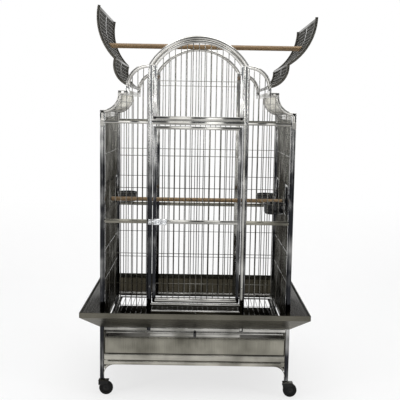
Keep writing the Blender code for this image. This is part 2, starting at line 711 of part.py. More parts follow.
def side_panel(side, word):
    name = "side_panel_" + word
    half = POST_INNER_Y - GAP
    foot, top = BODY_FOOT[0], CORNER_TOP_Z - CORNER_POST - GAP
    places = [y for _, place_side, y in CUP_PLACES if place_side == side]
    window = half - EDGE_STRIP
    head = top - (BAY_HEAD[1] - BAY_HEAD[0])
    loops = [rectangle(-half, half, foot, top), rectangle(-window, window, BODY_FOOT[1], head)]
    frame = outline_mesh(name, loops, PANEL_DEPTH, YZ_WALL, (side * (HALF_WIDTH - PANEL_DEPTH / 2), 0, 0))
    joins = []
    frame_half = FEEDER_OPENING / 2 + FEEDER_JAMB
    frame_z = (FEEDER_Z[0] - FEEDER_RAIL, FEEDER_Z[1] + FEEDER_RAIL)
    for y in places:
        loops = [rectangle(y - frame_half, y + frame_half, *frame_z),
                 rectangle(y - FEEDER_OPENING / 2, y + FEEDER_OPENING / 2, *FEEDER_Z)]
        at = (side * (HALF_WIDTH - STEP - PANEL_DEPTH / 2), 0, 0)
        joins.append(outline_mesh(name, loops, PANEL_DEPTH - 2 * STEP, YZ_WALL, at))
    rods = []
    for y in spaced(-half, half, 2 * half / SIDE_GAPS):
        low, high = BODY_FOOT[1] - BAR_SINK, head + BAR_SINK
        near = [place for place in places if abs(place - y) < frame_half + BAR_RADIUS]
        if near:
            rods.append((y, low, y, frame_z[0] + BAR_SINK))
            rods.append((y, frame_z[1] - BAR_SINK, y, high))
        else:
            rods.append((y, low, y, high))
    joins.append(side_rods(name, rods, side, BAR_INSET, BAR_RADIUS, BAR_SIDES))
    ends = window + EDGE_STRIP / 2
    wires = [(-ends, z, ends, z) for z in CROSS_WIRE_ZS if not frame_z[0] < z < frame_z[1]]
    joins.append(side_rods(name, wires, side, WIRE_INSET, WIRE_RADIUS, 4))
    for zs in ((frame_z[0], FEEDER_Z[0]), (FEEDER_Z[1], frame_z[1])):
        stops = [-ends]
        for y in sorted(places):
            stops += [y - frame_half + FEEDER_JAMB / 2, y + frame_half - FEEDER_JAMB / 2]
        stops.append(ends)
        for start, end in zip(stops[0::2], stops[1::2]):
            zs_in = (zs[0] + 3 * STEP, zs[1] - 3 * STEP)
            joins.append(side_box(name, side, RAIL_DEPTH, (start, end), zs_in))
    cuts = []
    for y in places:
        px, py = feeder_pin_place(side, y)
        holes = [((px, py, frame_z[0] - SINK), (px, py, frame_z[1] + SINK))]
        cuts.append(rods_mesh(name, holes, FEEDER_PIN_RADIUS + GAP, 8))
    return piece(name, frame, "steel", joins, cuts)


# Feeder doors, cup rings and cups

def feeder_pin_place(side, y):
    x = side * (HALF_WIDTH - STEP - FEEDER_PIN_INSET)
    return x, y + FEEDER_OPENING / 2 - FEEDER_CLEAR - FEEDER_PIN_INSET


def feeder_door(word, side, y):
    name = "feeder_door_" + word
    half = FEEDER_OPENING / 2 - FEEDER_CLEAR
    low, high = FEEDER_Z[0] + FEEDER_CLEAR, FEEDER_Z[1] - FEEDER_CLEAR
    inner = half - FEEDER_DOOR_RIM
    loops = [rectangle(y - half, y + half, low, high),
             rectangle(y - inner, y + inner, low + FEEDER_DOOR_RIM, high - FEEDER_DOOR_RIM)]
    outer_x = HALF_WIDTH - STEP
    at = (side * (outer_x - FEEDER_DOOR_DEPTH / 2), 0, 0)
    frame = outline_mesh(name, loops, FEEDER_DOOR_DEPTH, YZ_WALL, at)
    sink = FEEDER_DOOR_RIM / 2
    rods = [(bar_y, low + sink, bar_y, high - sink) for bar_y in spaced(y - inner, y + inner, BAR_PITCH)]
    bars = side_rods(name, rods, side, FEEDER_DOOR_DEPTH / 2, FEEDER_BAR_RADIUS)
    px, py = feeder_pin_place(side, y)
    ends = (FEEDER_Z[0] - FEEDER_PIN_DEPTH, FEEDER_Z[1] + FEEDER_PIN_DEPTH)
    pins = rods_mesh(name, [((px, py, ends[0]), (px, py, ends[1]))], FEEDER_PIN_RADIUS, 8)
    return piece(name, frame, "steel", [bars, pins], (), (px, py, low))


def cup_centre(side):
    return side * (HALF_WIDTH - PANEL_DEPTH - CUP_WALL_GAP - CUP_RIM_RADIUS)


def cup_ring(word, side, y):
    """The ring that a cup hangs in, with two arms to the wall and a bracket on the feeder frame."""
    name = "cup_ring_" + word
    x = cup_centre(side)
    z = CUP_RIM_Z - CUP_LIP - GAP - RING_WIRE
    ring_radius = CUP_RADIUS + GAP + RING_WIRE
    ring = ring_tube_mesh(name, (x, y, z), ring_radius, RING_WIRE)
    wall = side * (HALF_WIDTH - PANEL_DEPTH - GAP)
    stand = wall - side * RING_ARM_STAND
    plate_z = (FEEDER_Z[0] - FEEDER_RAIL, FEEDER_Z[0] - SINK)
    low_z = (plate_z[0] + plate_z[1]) / 2
    start_x = x + side * math.sqrt(ring_radius ** 2 - RING_ARM_HALF ** 2)
    arms = []
    for turn in (-1, 1):
        foot_y = y + turn * (RING_ARM_HALF + RING_ARM_SPREAD)
        arms.append([(start_x, y + turn * RING_ARM_HALF, z), (stand, foot_y, z - RING_ARM_DROP),
                     (stand, foot_y, low_z)])
    plate_half = RING_ARM_HALF + RING_PLATE_PAST
    plate_xs = sorted((wall, wall - side * RING_PLATE))
    plate = box_mesh(name, plate_xs, (y - plate_half, y + plate_half), plate_z)
    return piece(name, ring, "steel", [tube_mesh(name, arms, RING_ARM_WIRE), plate])


def cup(word, side, y):
    name = "cup_" + word
    base_z = CUP_RIM_Z - CUP_HEIGHT
    foot = CUP_FOOT_RADIUS
    inner = CUP_RADIUS - CUP_WALL
    turn_z = base_z + CUP_FOOT_CURVE
    profile = [(inner, CUP_RIM_Z), (CUP_RIM_RADIUS, CUP_RIM_Z), (CUP_RIM_RADIUS, CUP_RIM_Z - CUP_LIP),
               (CUP_RADIUS, CUP_RIM_Z - CUP_LIP), (CUP_RADIUS - CUP_WALL, turn_z), (foot, base_z),
               (0.0, base_z)]
    inside = [(0.0, base_z + CUP_WALL), (foot, base_z + CUP_WALL), (inner - CUP_WALL, turn_z + SINK)]
    shape = turned_mesh(name, profile + inside, 20, closed=True)
    shape.transform(Matrix.Translation(Vector((cup_centre(side), y, 0.0))))
    return piece(name, shape, "black_plastic", (), (), (cup_centre(side), y, CUP_RIM_Z))


# Fixed scoops of the roof, with the cap rails

def roof_scoop(side, word):
    name = "roof_scoop_" + word
    half = HALF_DEPTH - PANEL_DEPTH - GAP
    rail_half = POST_INNER_Y - GAP
    eave_z = (CORNER_TOP_Z - CORNER_POST, CORNER_TOP_Z)
    eave_xs = sorted((side * POST_INNER_X, side * HALF_WIDTH))
    eave = box_mesh(name, eave_xs, (-rail_half, rail_half), eave_z)
    cap_xs = sorted((side * CAP_OUT_X, side * (SHOULDER_OUT_X - SHOULDER_BAND)))
    cap = box_mesh(name, cap_xs, (-half, half), CAP_Z)
    wire_radius = SCOOP_RADIUS + SCOOP_BAND / 2
    paths = []
    into_eave, into_cap = SCOOP_WIRE_SINK
    for y in spaced(-half, half, SCOOP_WIRE_PITCH):
        points = [(side * (SCOOP_CENTRE_X + into_eave), y, SCOOP_CENTRE_Z - wire_radius)]
        for u, v in arc(SCOOP_CENTRE_X, SCOOP_CENTRE_Z, wire_radius, 266, 182, 3):
            points.append((side * u, y, v))
        points.append((side * (SCOOP_CENTRE_X - wire_radius), y, CAP_Z[1] - into_cap))
        paths.append(points)
    return piece(name, eave, "steel", [tube_mesh(name, paths, ROOF_WIRE_RADIUS), cap])


# Opening halves of the roof

def valley(offset):
    """Where the shoulder and the main arch meet, that far inside their outer faces."""
    shoulder = SHOULDER_RADIUS - offset
    arch = ARCH_RADIUS - offset
    run = -CENTRE_HALF
    rise = SHOULDER_CENTRE_Z - ARCH_CENTRE_Z
    span = math.hypot(run, rise)
    along = (arch ** 2 - shoulder ** 2 + span ** 2) / (2 * span)
    across = math.sqrt(arch ** 2 - along ** 2)
    unit_u, unit_v = run / span, rise / span
    u = along * unit_u + across * unit_v
    v = ARCH_CENTRE_Z + along * unit_v - across * unit_u
    return u, v


def roof_profile(offset, shoulder_steps, arch_steps, foot_z, tip_u):
    """Left half of the closed roof, from the hinge to the crown, that far inside the outer face."""
    shoulder = SHOULDER_RADIUS - offset
    arch = ARCH_RADIUS - offset
    u, v = valley(offset)
    foot = 180 - math.degrees(math.asin((foot_z - SHOULDER_CENTRE_Z) / shoulder))
    meet = math.degrees(math.atan2(v - SHOULDER_CENTRE_Z, u + CENTRE_HALF))
    points = arc(-CENTRE_HALF, SHOULDER_CENTRE_Z, shoulder, foot, meet, shoulder_steps)
    start = math.degrees(math.atan2(v - ARCH_CENTRE_Z, u))
    end = 90 + math.degrees(math.asin(-tip_u / arch))
    return points + arc(0.0, ARCH_CENTRE_Z, arch, start, end, arch_steps)[1:]


def roof_half_length():
    return HALF_DEPTH - CENTRE_POST - ROOF_END_GAP


def roof_tip_zs():
    top = ARCH_CROWN_Z - ROOF_INSET - ROOF_TIP_STEP
    return top - ROOF_TIP[1], top


def roof_wire_gap():
    """Clear width between two wires of a roof half."""
    return (2 * (roof_half_length() - ROOF_BAND)) / ROOF_GAPS - 2 * ROOF_WIRE_RADIUS


def roof_half(side, word):
    name = "roof_half_" + word
    half = roof_half_length()
    tip = -ROOF_TIP_GAP
    outer = roof_profile(ROOF_INSET, 5, 6, HINGE_Z - ROOF_FOOT_DROP, tip)
    inner = roof_profile(ROOF_INSET + ROOF_BAND, 5, 6, HINGE_Z - ROOF_FOOT_DROP, tip)
    loop = outer + inner[::-1]
    loop = loop if side < 0 else mirror_u(loop)
    flanges = []
    for end in (-1, 1):
        at = (0, end * (half - ROOF_BAND / 2), 0)
        flanges.append(outline_mesh(name, [loop], ROOF_BAND, XZ_WALL, at))
    mid = half - ROOF_BAND / 2
    tip_width = ROOF_TIP[0]
    tip_xs = sorted((side * -tip, side * (tip_width - tip)))
    tip_rail = box_mesh(name, tip_xs, (-mid, mid), roof_tip_zs())
    valley_u, valley_v = valley(ROOF_INSET + ROOF_WIRE_INSET + ROOF_WIRE_RADIUS + GAP)
    brace_width, brace_height = ROOF_BRACE
    brace_xs = sorted((side * (-valley_u - brace_width / 2), side * (-valley_u + brace_width / 2)))
    brace = box_mesh(name, brace_xs, (-mid, mid), (valley_v - brace_height, valley_v))
    x = side * HINGE_X
    ends = [((x, -half + SINK, HINGE_Z), (x, half - SINK, HINGE_Z))]
    barrel = rods_mesh(name, ends, HINGE_BARREL_RADIUS, 12)
    foot_z = HINGE_Z + HINGE_BARREL_RADIUS / 2
    path = roof_profile(ROOF_INSET + ROOF_WIRE_INSET, 3, 4, foot_z, tip - tip_width / 2)
    gaps_from = -(half - ROOF_BAND)
    pitch = -2 * gaps_from / ROOF_GAPS
    wires = []
    for index in range(1, ROOF_GAPS):
        y = gaps_from + pitch * index
        wires.append([(-side * u, y, v) for u, v in path])
    joins = [flanges[1], tip_rail, brace, barrel, tube_mesh(name, wires, ROOF_WIRE_RADIUS)]
    cuts = [rod_cut(name, x)]
    made = piece(name, flanges[0], "steel", joins, cuts, (x, 0.0, HINGE_Z))
    turn = LEFT_OPEN_DEG if side < 0 else -RIGHT_OPEN_DEG
    made.rotation_euler = (0.0, -math.radians(turn), 0.0)
    return made


def roof_hinge_rod(side, word):
    x = side * HINGE_X
    reach = HALF_DEPTH - STEP
    rod = rods_mesh(word, [((x, -reach, HINGE_Z), (x, reach, HINGE_Z))], HINGE_ROD_RADIUS, 8)
    return piece("roof_hinge_rod_" + word, rod, "steel")


# Perches

def top_perch():
    """It fits between two wires of each roof half, under the tip rails of the closed roof."""
    radius = roof_wire_gap() / 2 - PERCH_SIDE_CLEARANCE
    z = roof_tip_zs()[0] - GAP - radius
    rod = rods_mesh("top", [((TOP_PERCH_X[0], 0, z), (TOP_PERCH_X[1], 0, z))], radius, 16)
    return piece("top_perch", rod, "wood", (), (), (0, 0, z))


def perch_end():
    """The perch's washers press on the inside of the wall bars."""
    return HALF_WIDTH - BAR_INSET - BAR_RADIUS - GAP


def inner_perch():
    end = perch_end()
    z = INNER_PERCH_Z
    rod = rods_mesh("inner", [((-end + SINK, 0, z), (end - SINK, 0, z))], INNER_PERCH_RADIUS, 14)
    washers, bores = [], []
    for side in (-1, 1):
        washers.append(((side * (end - PERCH_WASHER), 0, z), (side * end, 0, z)))
        bores.append(((side * (end - PERCH_BOLT_DEPTH - GAP), 0, z), (side * (end + CUT_PAST), 0, z)))
    joins = [rods_mesh("washers", washers, PERCH_WASHER_RADIUS, 16)]
    cuts = [rods_mesh("bores", bores, PERCH_BOLT_RADIUS + GAP, 8)]
    return piece("inner_perch", rod, "wood", joins, cuts)


def perch_wing_bolt(side, word):
    z = INNER_PERCH_Z
    outer = HALF_WIDTH - BAR_INSET + BAR_RADIUS + GAP
    hub_end = outer + WING_HUB_LENGTH
    ends = [((side * (perch_end() - PERCH_BOLT_DEPTH), 0, z), (side * (outer + SINK), 0, z))]
    shank = rods_mesh(word, ends, PERCH_BOLT_RADIUS, 8)
    washer = rods_mesh(word, [((side * outer, 0, z), (side * (outer + PERCH_WASHER), 0, z))],
                       PERCH_WASHER_RADIUS, 16)
    hub = rods_mesh(word, [((side * (outer + SINK), 0, z), (side * hub_end, 0, z))], WING_HUB_RADIUS, 10)
    xs = sorted((side * (outer + WING_START), side * (hub_end + WING_PAST)))
    wing_zs = (z - WING_HALF_SPAN, z + WING_HALF_SPAN)
    wings = box_mesh(word, xs, (-WING_HALF_SHEET, WING_HALF_SHEET), wing_zs)
    return piece("perch_wing_bolt_" + word, washer, "steel", [shank, hub, wings])


# Seed skirts

def skirt(word, turn_deg, half_along, out):
    """A flared sheet with an upright lip, mitred at both ends; drawn for the front, then turned."""
    name = "seed_skirt_" + word
    foot_z = BODY_FOOT[1] + SKIRT_FOOT_UP

    def build(bm):
        bmesh.ops.create_grid(bm, x_segments=1, y_segments=2, size=1.0)
        for vert in bm.verts:
            row = round(vert.co.y + 1.0)
            reach = 0.0 if row == 0 else SKIRT_REACH
            height = (foot_z, SKIRT_LIP[0], SKIRT_LIP[1])[row]
            side = 1 if vert.co.x > 0 else -1
            vert.co = (side * (half_along + reach - SKIRT_MITRE_GAP), -(out + GAP + reach), height)
    shape = bpy.data.objects.new(name, mesh_from_bmesh(name, build))
    shell = shape.modifiers.new("sheet", "SOLIDIFY")
    shell.thickness = SKIRT_SHEET
    shell.offset = 1.0
    shell.use_even_offset = True
    shape.matrix_world = Matrix.Rotation(math.radians(turn_deg), 4, "Z")
    return piece(name, mesh_from_object(shape), "sheet_steel")


# Stand: posts, stretchers and casters

def corner_post(side, end, word):
    xs = sorted((side * POST_INNER_X, side * HALF_WIDTH))
    ys = sorted((end * POST_INNER_Y, end * HALF_DEPTH))
    return piece("corner_post_" + word, box_mesh(word, xs, ys, (LEG_FOOT_Z, POST_SEAM_Z)), "steel")


def stretcher_loops(half):
    """Two rails with a slit between them, and a curved gusset down each leg."""
    low, high = LOWER_STRETCHER[0], UPPER_STRETCHER[1]
    left = arc(-half + GUSSET_RADIUS, low - GUSSET_RADIUS, GUSSET_RADIUS, 180, 90, 6)
    right = mirror_u(left)
    outer = [(half, high), (-half, high), (-half, left[0][1]), (left[0][0] + GUSSET_TIP, left[0][1])]
    outer += left[1:] + right[:-1]
    outer += [(right[-1][0] - GUSSET_TIP, right[-1][1]), (half, right[-1][1])]
    slit = rectangle(-half + SLIT_INSET, half - SLIT_INSET, LOWER_STRETCHER[1], UPPER_STRETCHER[0])
    return [outer, slit]


def stretcher_x(end, word):
    name = "stand_stretcher_" + word
    loops = stretcher_loops(POST_INNER_X - GAP)
    at = (0, end * (HALF_DEPTH - CORNER_POST / 2), 0)
    return piece(name, outline_mesh(name, loops, CORNER_POST, XZ_WALL, at), "dark_steel")


def stretcher_y(side, word):
    name = "stand_stretcher_" + word
    loops = stretcher_loops(POST_INNER_Y - GAP)
    at = (side * (HALF_WIDTH - CORNER_POST / 2), 0, 0)
    return piece(name, outline_mesh(name, loops, CORNER_POST, YZ_WALL, at), "dark_steel")


def caster_fork_mesh():
    """Drawn with the swivel axis at the origin and the wheel trailing to +X."""
    side_y = WHEEL_WIDTH / 2 + FORK_SIDE_GAP
    crown_top = LEG_FOOT_Z - GAP - FORK_TOP_PLATE
    crown_low = crown_top - FORK_CROWN
    hub = arc(CASTER_TRAIL, WHEEL_RADIUS, FORK_HUB_RADIUS, -180, 0, 4)
    plate_top = crown_low + FORK_CROWN / 2
    loop = hub + [(CASTER_TRAIL + FORK_FRONT, plate_top), (-FORK_BACK, plate_top)]
    plates = []
    for end in (-1, 1):
        at = (0, end * (side_y + FORK_PLATE / 2), 0)
        plates.append(outline_mesh("plate", [loop], FORK_PLATE, XZ_WALL, at))
    reach = side_y + FORK_PLATE
    crown = box_mesh("crown", (-FORK_BACK - SINK, CASTER_TRAIL + FORK_FRONT + SINK),
                     (-reach - 2 * STEP, reach + 2 * STEP), (crown_low, crown_top))
    top = rods_mesh("top", [((0, 0, crown_top - SINK), (0, 0, LEG_FOOT_Z - GAP))], FORK_PIVOT_RADIUS, 12)
    axle_y = reach + AXLE_PAST
    axle_ends = ((CASTER_TRAIL, -axle_y, WHEEL_RADIUS), (CASTER_TRAIL, axle_y, WHEEL_RADIUS))
    axle = rods_mesh("axle", [axle_ends], AXLE_RADIUS, 8)
    base = piece("caster_fork", crown, "black_plastic", [plates[0], plates[1], top, axle])
    mesh = base.data
    bpy.data.objects.remove(base, do_unlink=True)
    return mesh


def caster_wheel_mesh():
    half = WHEEL_WIDTH / 2
    bore = AXLE_RADIUS + GAP
    proud = half + WHEEL_HUB_PROUD
    inset, slope = WHEEL_SHOULDER
    profile = [(bore, proud), (WHEEL_HUB[0], proud), (WHEEL_HUB[1], half - WHEEL_DISH),
               (WHEEL_RADIUS - inset, half - SINK), (WHEEL_RADIUS, half - slope)]
    lower = [(radius, -height) for radius, height in reversed(profile)]
    mesh = turned_mesh("caster_wheel", profile + lower, 20, closed=True)
    mesh.transform(Matrix.Rotation(math.radians(90), 4, "X"))
    mesh.materials.append(material("rubber"))
    mesh.shade_smooth()
    mesh.set_sharp_from_angle(angle=math.radians(35))
    return mesh


def casters():
    fork_mesh = caster_fork_mesh()
    wheel_mesh = caster_wheel_mesh()
    for side, side_word in ((-1, "left"), (1, "right")):
        for end, end_word in ((-1, "front"), (1, "back")):
            x = side * (HALF_WIDTH - CORNER_POST / 2)
            y = end * (HALF_DEPTH - CORNER_POST / 2)
            fork = bpy.data.objects.new(f"caster_fork_{side_word}_{end_word}", fork_mesh)
            wheel = bpy.data.objects.new(f"caster_wheel_{side_word}_{end_word}", wheel_mesh)
            fork.location = (x, y, 0.0)
            wheel.parent = fork
            wheel.location = (CASTER_TRAIL, 0.0, WHEEL_RADIUS)
            PARTS.objects.link(fork)
            PARTS.objects.link(wheel)


# Floor grate, its pull tab, the tray and the runners

def runner(side, word):
    name = "tray_runner_" + word
    web_out = POST_INNER_X - GAP
    web_in = web_out - SHEET
    shelf = web_out - TRAY_SHELF
    low = UPPER_STRETCHER[1] + GAP
    high = BODY_FOOT[0] - GAP
    grate_z = GRATE_SHELF_Z
    grate_shelf = [(web_in, grate_z + SHEET), (shelf, grate_z + SHEET), (shelf, grate_z), (web_in, grate_z)]
    tray_shelf = [(web_in, low + SHEET), (shelf, low + SHEET), (shelf, low)]
    loop = [(web_out, low), (web_out, high), (web_in, high)] + grate_shelf + tray_shelf
    loop = loop if side > 0 else mirror_u(loop)
    mesh = outline_mesh(name, [loop], CAGE_DEPTH, XZ_WALL, (0, 0, 0))
    return piece(name, mesh, "sheet_steel")


def tray():
    name = "waste_tray"
    low = UPPER_STRETCHER[1] + GAP + SHEET + GAP
    front = -HALF_DEPTH
    back = HALF_DEPTH - TRAY_BACK_GAP

    def build(bm):
        size = Vector((2 * TRAY_HALF, back - front - TRAY_SHEET, TRAY_PAN_HEIGHT))
        centre = Vector((0.0, (back + front + TRAY_SHEET) / 2, low + TRAY_PAN_HEIGHT / 2))
        place = Matrix.Translation(centre) @ Matrix.Diagonal((*size, 1.0))
        bmesh.ops.create_cube(bm, size=1.0, matrix=place)
        lid = [face for face in bm.faces if face.normal.z > 0.5]
        bmesh.ops.delete(bm, geom=lid, context="FACES_ONLY")
    shape = bpy.data.objects.new(name, mesh_from_bmesh(name, build))
    shell = shape.modifiers.new("sheet", "SOLIDIFY")
    shell.thickness = TRAY_SHEET
    shell.offset = -1.0
    shell.use_even_offset = True
    pan = mesh_from_object(shape)
    face_half = TRAY_HALF - STEP
    face = box_mesh(name, (-face_half, face_half), (front, front + TRAY_FACE_SHEET), TRAY_FACE_Z)
    return piece(name, pan, "sheet_steel", [face])


def floor_grate():
    name = "floor_grate"
    rail_width, rail_height = GRATE_RAIL
    low = GRATE_SHELF_Z + SHEET + GAP
    half_x = TRAY_HALF + SINK
    front = -HALF_DEPTH + GAP
    back = HALF_DEPTH - GRATE_BACK_GAP
    loops = [rectangle(-half_x, half_x, front, back),
             rectangle(-half_x + rail_width, half_x - rail_width, front + rail_width, back - rail_width)]
    z = low + rail_height / 2
    frame = outline_mesh(name, loops, rail_height, XY_WALL, (0, 0, z))
    inner = half_x - rail_width
    pitch = 2 * inner / GRATE_GAPS
    xs = [-inner + pitch * index for index in range(1, GRATE_GAPS)]
    rods = [((x, front + rail_width / 2, z), (x, back - rail_width / 2, z)) for x in xs]
    cross_z = z - GRATE_WIRE_RADIUS - GRATE_CROSS_RADIUS
    reach = inner + rail_width / 2
    across = [((-reach, y, cross_z), (reach, y, cross_z)) for y in GRATE_CROSS_YS]
    pull_z = (low - PULL_DROP, low + rail_height / 4)
    pull = box_mesh(name, (-PULL_HALF, PULL_HALF), (front, front + SHEET), pull_z)
    wires = rods_mesh(name, rods, GRATE_WIRE_RADIUS, 4)
    joins = [wires, rods_mesh(name, across, GRATE_CROSS_RADIUS, 4), pull]
    return piece(name, frame, "dark_steel", joins)


def grate_pull_tab():
    """Black tab that the grate is drawn out by, flat on its pull strip."""
    name = "grate_pull_tab"
    near = -HALF_DEPTH - GAP
    low, high = TAB_Z
    loop = arc(0.0, high - TAB_HALF, TAB_HALF, 0, 180, 8) + [(-TAB_HALF, low), (TAB_HALF, low)]
    plate = outline_mesh(name, [loop], TAB_SHEET, XZ_WALL, (0, near - TAB_SHEET / 2, 0))
    return piece(name, plate, "black_plastic")


# Door latch

def latch():
    """Barrel bolt on the door, drawn back; it slides left into the keeper on the post."""
    face = -HALF_DEPTH - GAP
    front = face - LATCH_DEPTH
    bolt_y = face - LATCH_DEPTH / 2
    zs = (LATCH_Z - LATCH_HEIGHT / 2, LATCH_Z + LATCH_HEIGHT / 2)
    x0, x1 = LATCH_BODY_X
    bore_end = x1 - LATCH_END_WALL
    body = box_mesh("latch", LATCH_BODY_X, (front, face), zs)
    bore = rods_mesh("latch", [((x0 - CUT_PAST, bolt_y, LATCH_Z), (bore_end, bolt_y, LATCH_Z))],
                     BOLT_RADIUS + GAP, 10)
    slot_half = KNOB_STEM_RADIUS + 2 * GAP
    slot = box_mesh("latch", (LATCH_KNOB_X - BOLT_TRAVEL - slot_half, LATCH_KNOB_X + slot_half),
                    (front - CUT_PAST, bolt_y), (LATCH_Z - slot_half, LATCH_Z + slot_half))
    piece("latch_body", body, "steel", (), [bore, slot])
    tip = KEEPER_X[1] + BOLT_TIP_GAP
    rod = rods_mesh("bolt", [((tip, bolt_y, LATCH_Z), (bore_end - BOLT_TAIL_GAP, bolt_y, LATCH_Z))],
                    BOLT_RADIUS, 10)
    stem_end = front - KNOB_STAND_OFF
    stem = rods_mesh("bolt", [((LATCH_KNOB_X, bolt_y, LATCH_Z), (LATCH_KNOB_X, stem_end, LATCH_Z))],
                     KNOB_STEM_RADIUS, 8)
    knob = rods_mesh("bolt", [((LATCH_KNOB_X, stem_end + SINK, LATCH_Z),
                               (LATCH_KNOB_X, stem_end - KNOB_LENGTH, LATCH_Z))], KNOB_RADIUS, 14)
    piece("latch_bolt", rod, "steel", [stem, knob], (), (LATCH_KNOB_X, bolt_y, LATCH_Z))
    keeper_z = (LATCH_Z - KEEPER_HEIGHT / 2, LATCH_Z + KEEPER_HEIGHT / 2)
    keeper = box_mesh("keeper", KEEPER_X, (front + SINK, face), keeper_z)
    hole = [((KEEPER_X[0] - CUT_PAST, bolt_y, LATCH_Z), (KEEPER_X[1] + CUT_PAST, bolt_y, LATCH_Z))]
    piece("latch_keeper", keeper, "steel", (), [rods_mesh("keeper", hole, BOLT_RADIUS + 2 * GAP, 10)])


# The whole cage

def build_cage():
    for side, word in ((-1, "left"), (1, "right")):
        front_bay(side, word)
        side_panel(side, word)
        roof_scoop(side, word)
        roof_half(side, word)
        roof_hinge_rod(side, word)
        perch_wing_bolt(side, word)
        runner(side, word)
        stretcher_y(side, word)
        for end, end_word in ((-1, "front"), (1, "back")):
            corner_post(side, end, f"{word}_{end_word}")
    front_centre_frame()
    arch_grille()
    arch_bolts()
    door()
    door_pins()
    latch()
    back_panel()
    top_perch()
    inner_perch()
    for word, side, y in CUP_PLACES:
        feeder_door(word, side, y)
        cup_ring(word, side, y)
        cup(word, side, y)
    skirt("front", 0, HALF_WIDTH, HALF_DEPTH)
    skirt("back", 180, HALF_WIDTH, HALF_DEPTH)
    skirt("left", -90, HALF_DEPTH, HALF_WIDTH)
    skirt("right", 90, HALF_DEPTH, HALF_WIDTH)
    stretcher_x(-1, "front")
    stretcher_x(1, "back")
    casters()
    tray()
    floor_grate()
    grate_pull_tab()


build_cage()
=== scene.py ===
# %% [markdown]
# # A victorian top bird cage in polished stainless steel
# The cage stands on casters. Its arched roof opens in two halves to make a play top, with a perch
# across them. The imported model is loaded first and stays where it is. Everything after this cell only
# dresses it: square tubes get rounded edges, bars become round, and each finish gets its own material.

# %% Load the fixed frame
import math

import bmesh
import bpy
from mathutils import Matrix, Vector


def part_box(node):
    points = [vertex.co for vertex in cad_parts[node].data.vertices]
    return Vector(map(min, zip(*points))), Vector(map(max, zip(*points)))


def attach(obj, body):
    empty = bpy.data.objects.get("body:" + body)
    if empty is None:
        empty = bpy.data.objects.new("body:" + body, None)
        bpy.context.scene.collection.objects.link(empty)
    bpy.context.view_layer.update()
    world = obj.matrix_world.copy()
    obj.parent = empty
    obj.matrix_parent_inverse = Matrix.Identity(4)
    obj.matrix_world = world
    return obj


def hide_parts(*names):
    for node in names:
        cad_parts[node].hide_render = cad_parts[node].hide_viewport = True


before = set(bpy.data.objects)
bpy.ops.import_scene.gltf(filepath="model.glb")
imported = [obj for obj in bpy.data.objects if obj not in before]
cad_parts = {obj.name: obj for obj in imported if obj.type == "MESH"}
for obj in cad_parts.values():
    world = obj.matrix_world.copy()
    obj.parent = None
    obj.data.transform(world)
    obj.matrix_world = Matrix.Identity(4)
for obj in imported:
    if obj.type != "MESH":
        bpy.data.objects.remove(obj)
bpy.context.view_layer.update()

# %% [markdown]
# ## Sizes
# The cage is about 1.02 m wide and 0.76 m deep over its corner posts, a 40 by 30 inch body.
# Heights are measured up from the floor. A wall is described by three numbers: how far along it (u),
# how far in from its outer face (d) and how high (v), so one set of helpers can draw all four walls.

# %% Sizes in metres
HALF_WIDTH, HALF_DEPTH = 0.508, 0.381
POST = 0.022
POST_IN_X, POST_IN_Y = HALF_WIDTH - POST, HALF_DEPTH - POST
GAP = 0.0003                            # air between pieces that touch
FOOT_Z = 0.087                          # where the legs end, on top of the casters
FOOT_RAIL, LOW_SILL, HIGH_SILL = (0.359, 0.378), (0.452, 0.469), (0.494, 0.510)
MID_RAIL, BAY_HEAD, HEADER = (0.939, 0.960), (1.460, 1.476), (1.457, 1.480)
SEAM_Z, CORNER_Z, UPRIGHT_TOP, CROWN_Z = 1.445, 1.528, 1.7655, 1.912
PANEL, RAIL = 0.0185, 0.0095            # depth of a panel's tubes, and of the rails across its bars
STILE, STRIP, STRIP_TOP = 0.0195, 0.004, 1.752
EDGE, ROUND_EDGE = 0.0022, 0.004        # how far tube edges are rounded
SINK = 0.006                            # how far a bar's end runs into a rail
BAR_D, WIRE_D = 0.0123, 0.0166
BAR_R, WIRE_R = 0.0023, 0.0016
PITCH = 0.0305
WIRE_ZS, TOP_WIRE_Z = (0.615, 0.777, 1.126, 1.295), 1.682
CENTRE, CENTRE_IN = 0.256, 0.234        # outer and inner face of the centre frame's uprights
ARCH_RISE = 0.145
ARCH_R = (CENTRE ** 2 + ARCH_RISE ** 2) / (2 * ARCH_RISE)
ARCH_Z = CROWN_Z - ARCH_R
BAND = 0.020                            # width of the arch's and the shoulders' tube
SHOULDER_R, SHOULDER_Z = 0.119, 1.648
CAP_Z = (1.610, 1.630)
SCOOP_R, SCOOP_X, SCOOP_Z, SCOOP_BAND = 0.084, 0.500, 1.612, 0.018
HINGE_X, HINGE_Z = 0.365, 1.658
SIDES = ((-1, "left"), (1, "right"))
ENDS = ((-1, "front"), (1, "back"))
FORWARD = (0, -1, 0)
print("arch radius", round(ARCH_R, 4), "arch centre height", round(ARCH_Z, 4))


# %% [markdown]
# ## Colour
# Colours are written as the hex values seen on a screen. The renderer works in linear light,
# so one function turns them over.

# %% Hex to linear colour
def linear(code):
    """sRGB hex to linear RGBA."""
    values = [int(code[i:i + 2], 16) / 255 for i in (1, 3, 5)]
    return [v / 12.92 if v <= 0.04045 else ((v + 0.055) / 1.055) ** 2.4 for v in values] + [1.0]


print("mid grey in linear light:", round(linear("#808080")[0], 3))


# %% [markdown]
# ## Building a material
# A material is a small graph of nodes. One function adds a node, sets its sockets and links them,
# so that each recipe below reads from top to bottom. The others use it for what every recipe needs:
# noise, a change of range, a colour ramp, and the wiring of a colour and a bump.

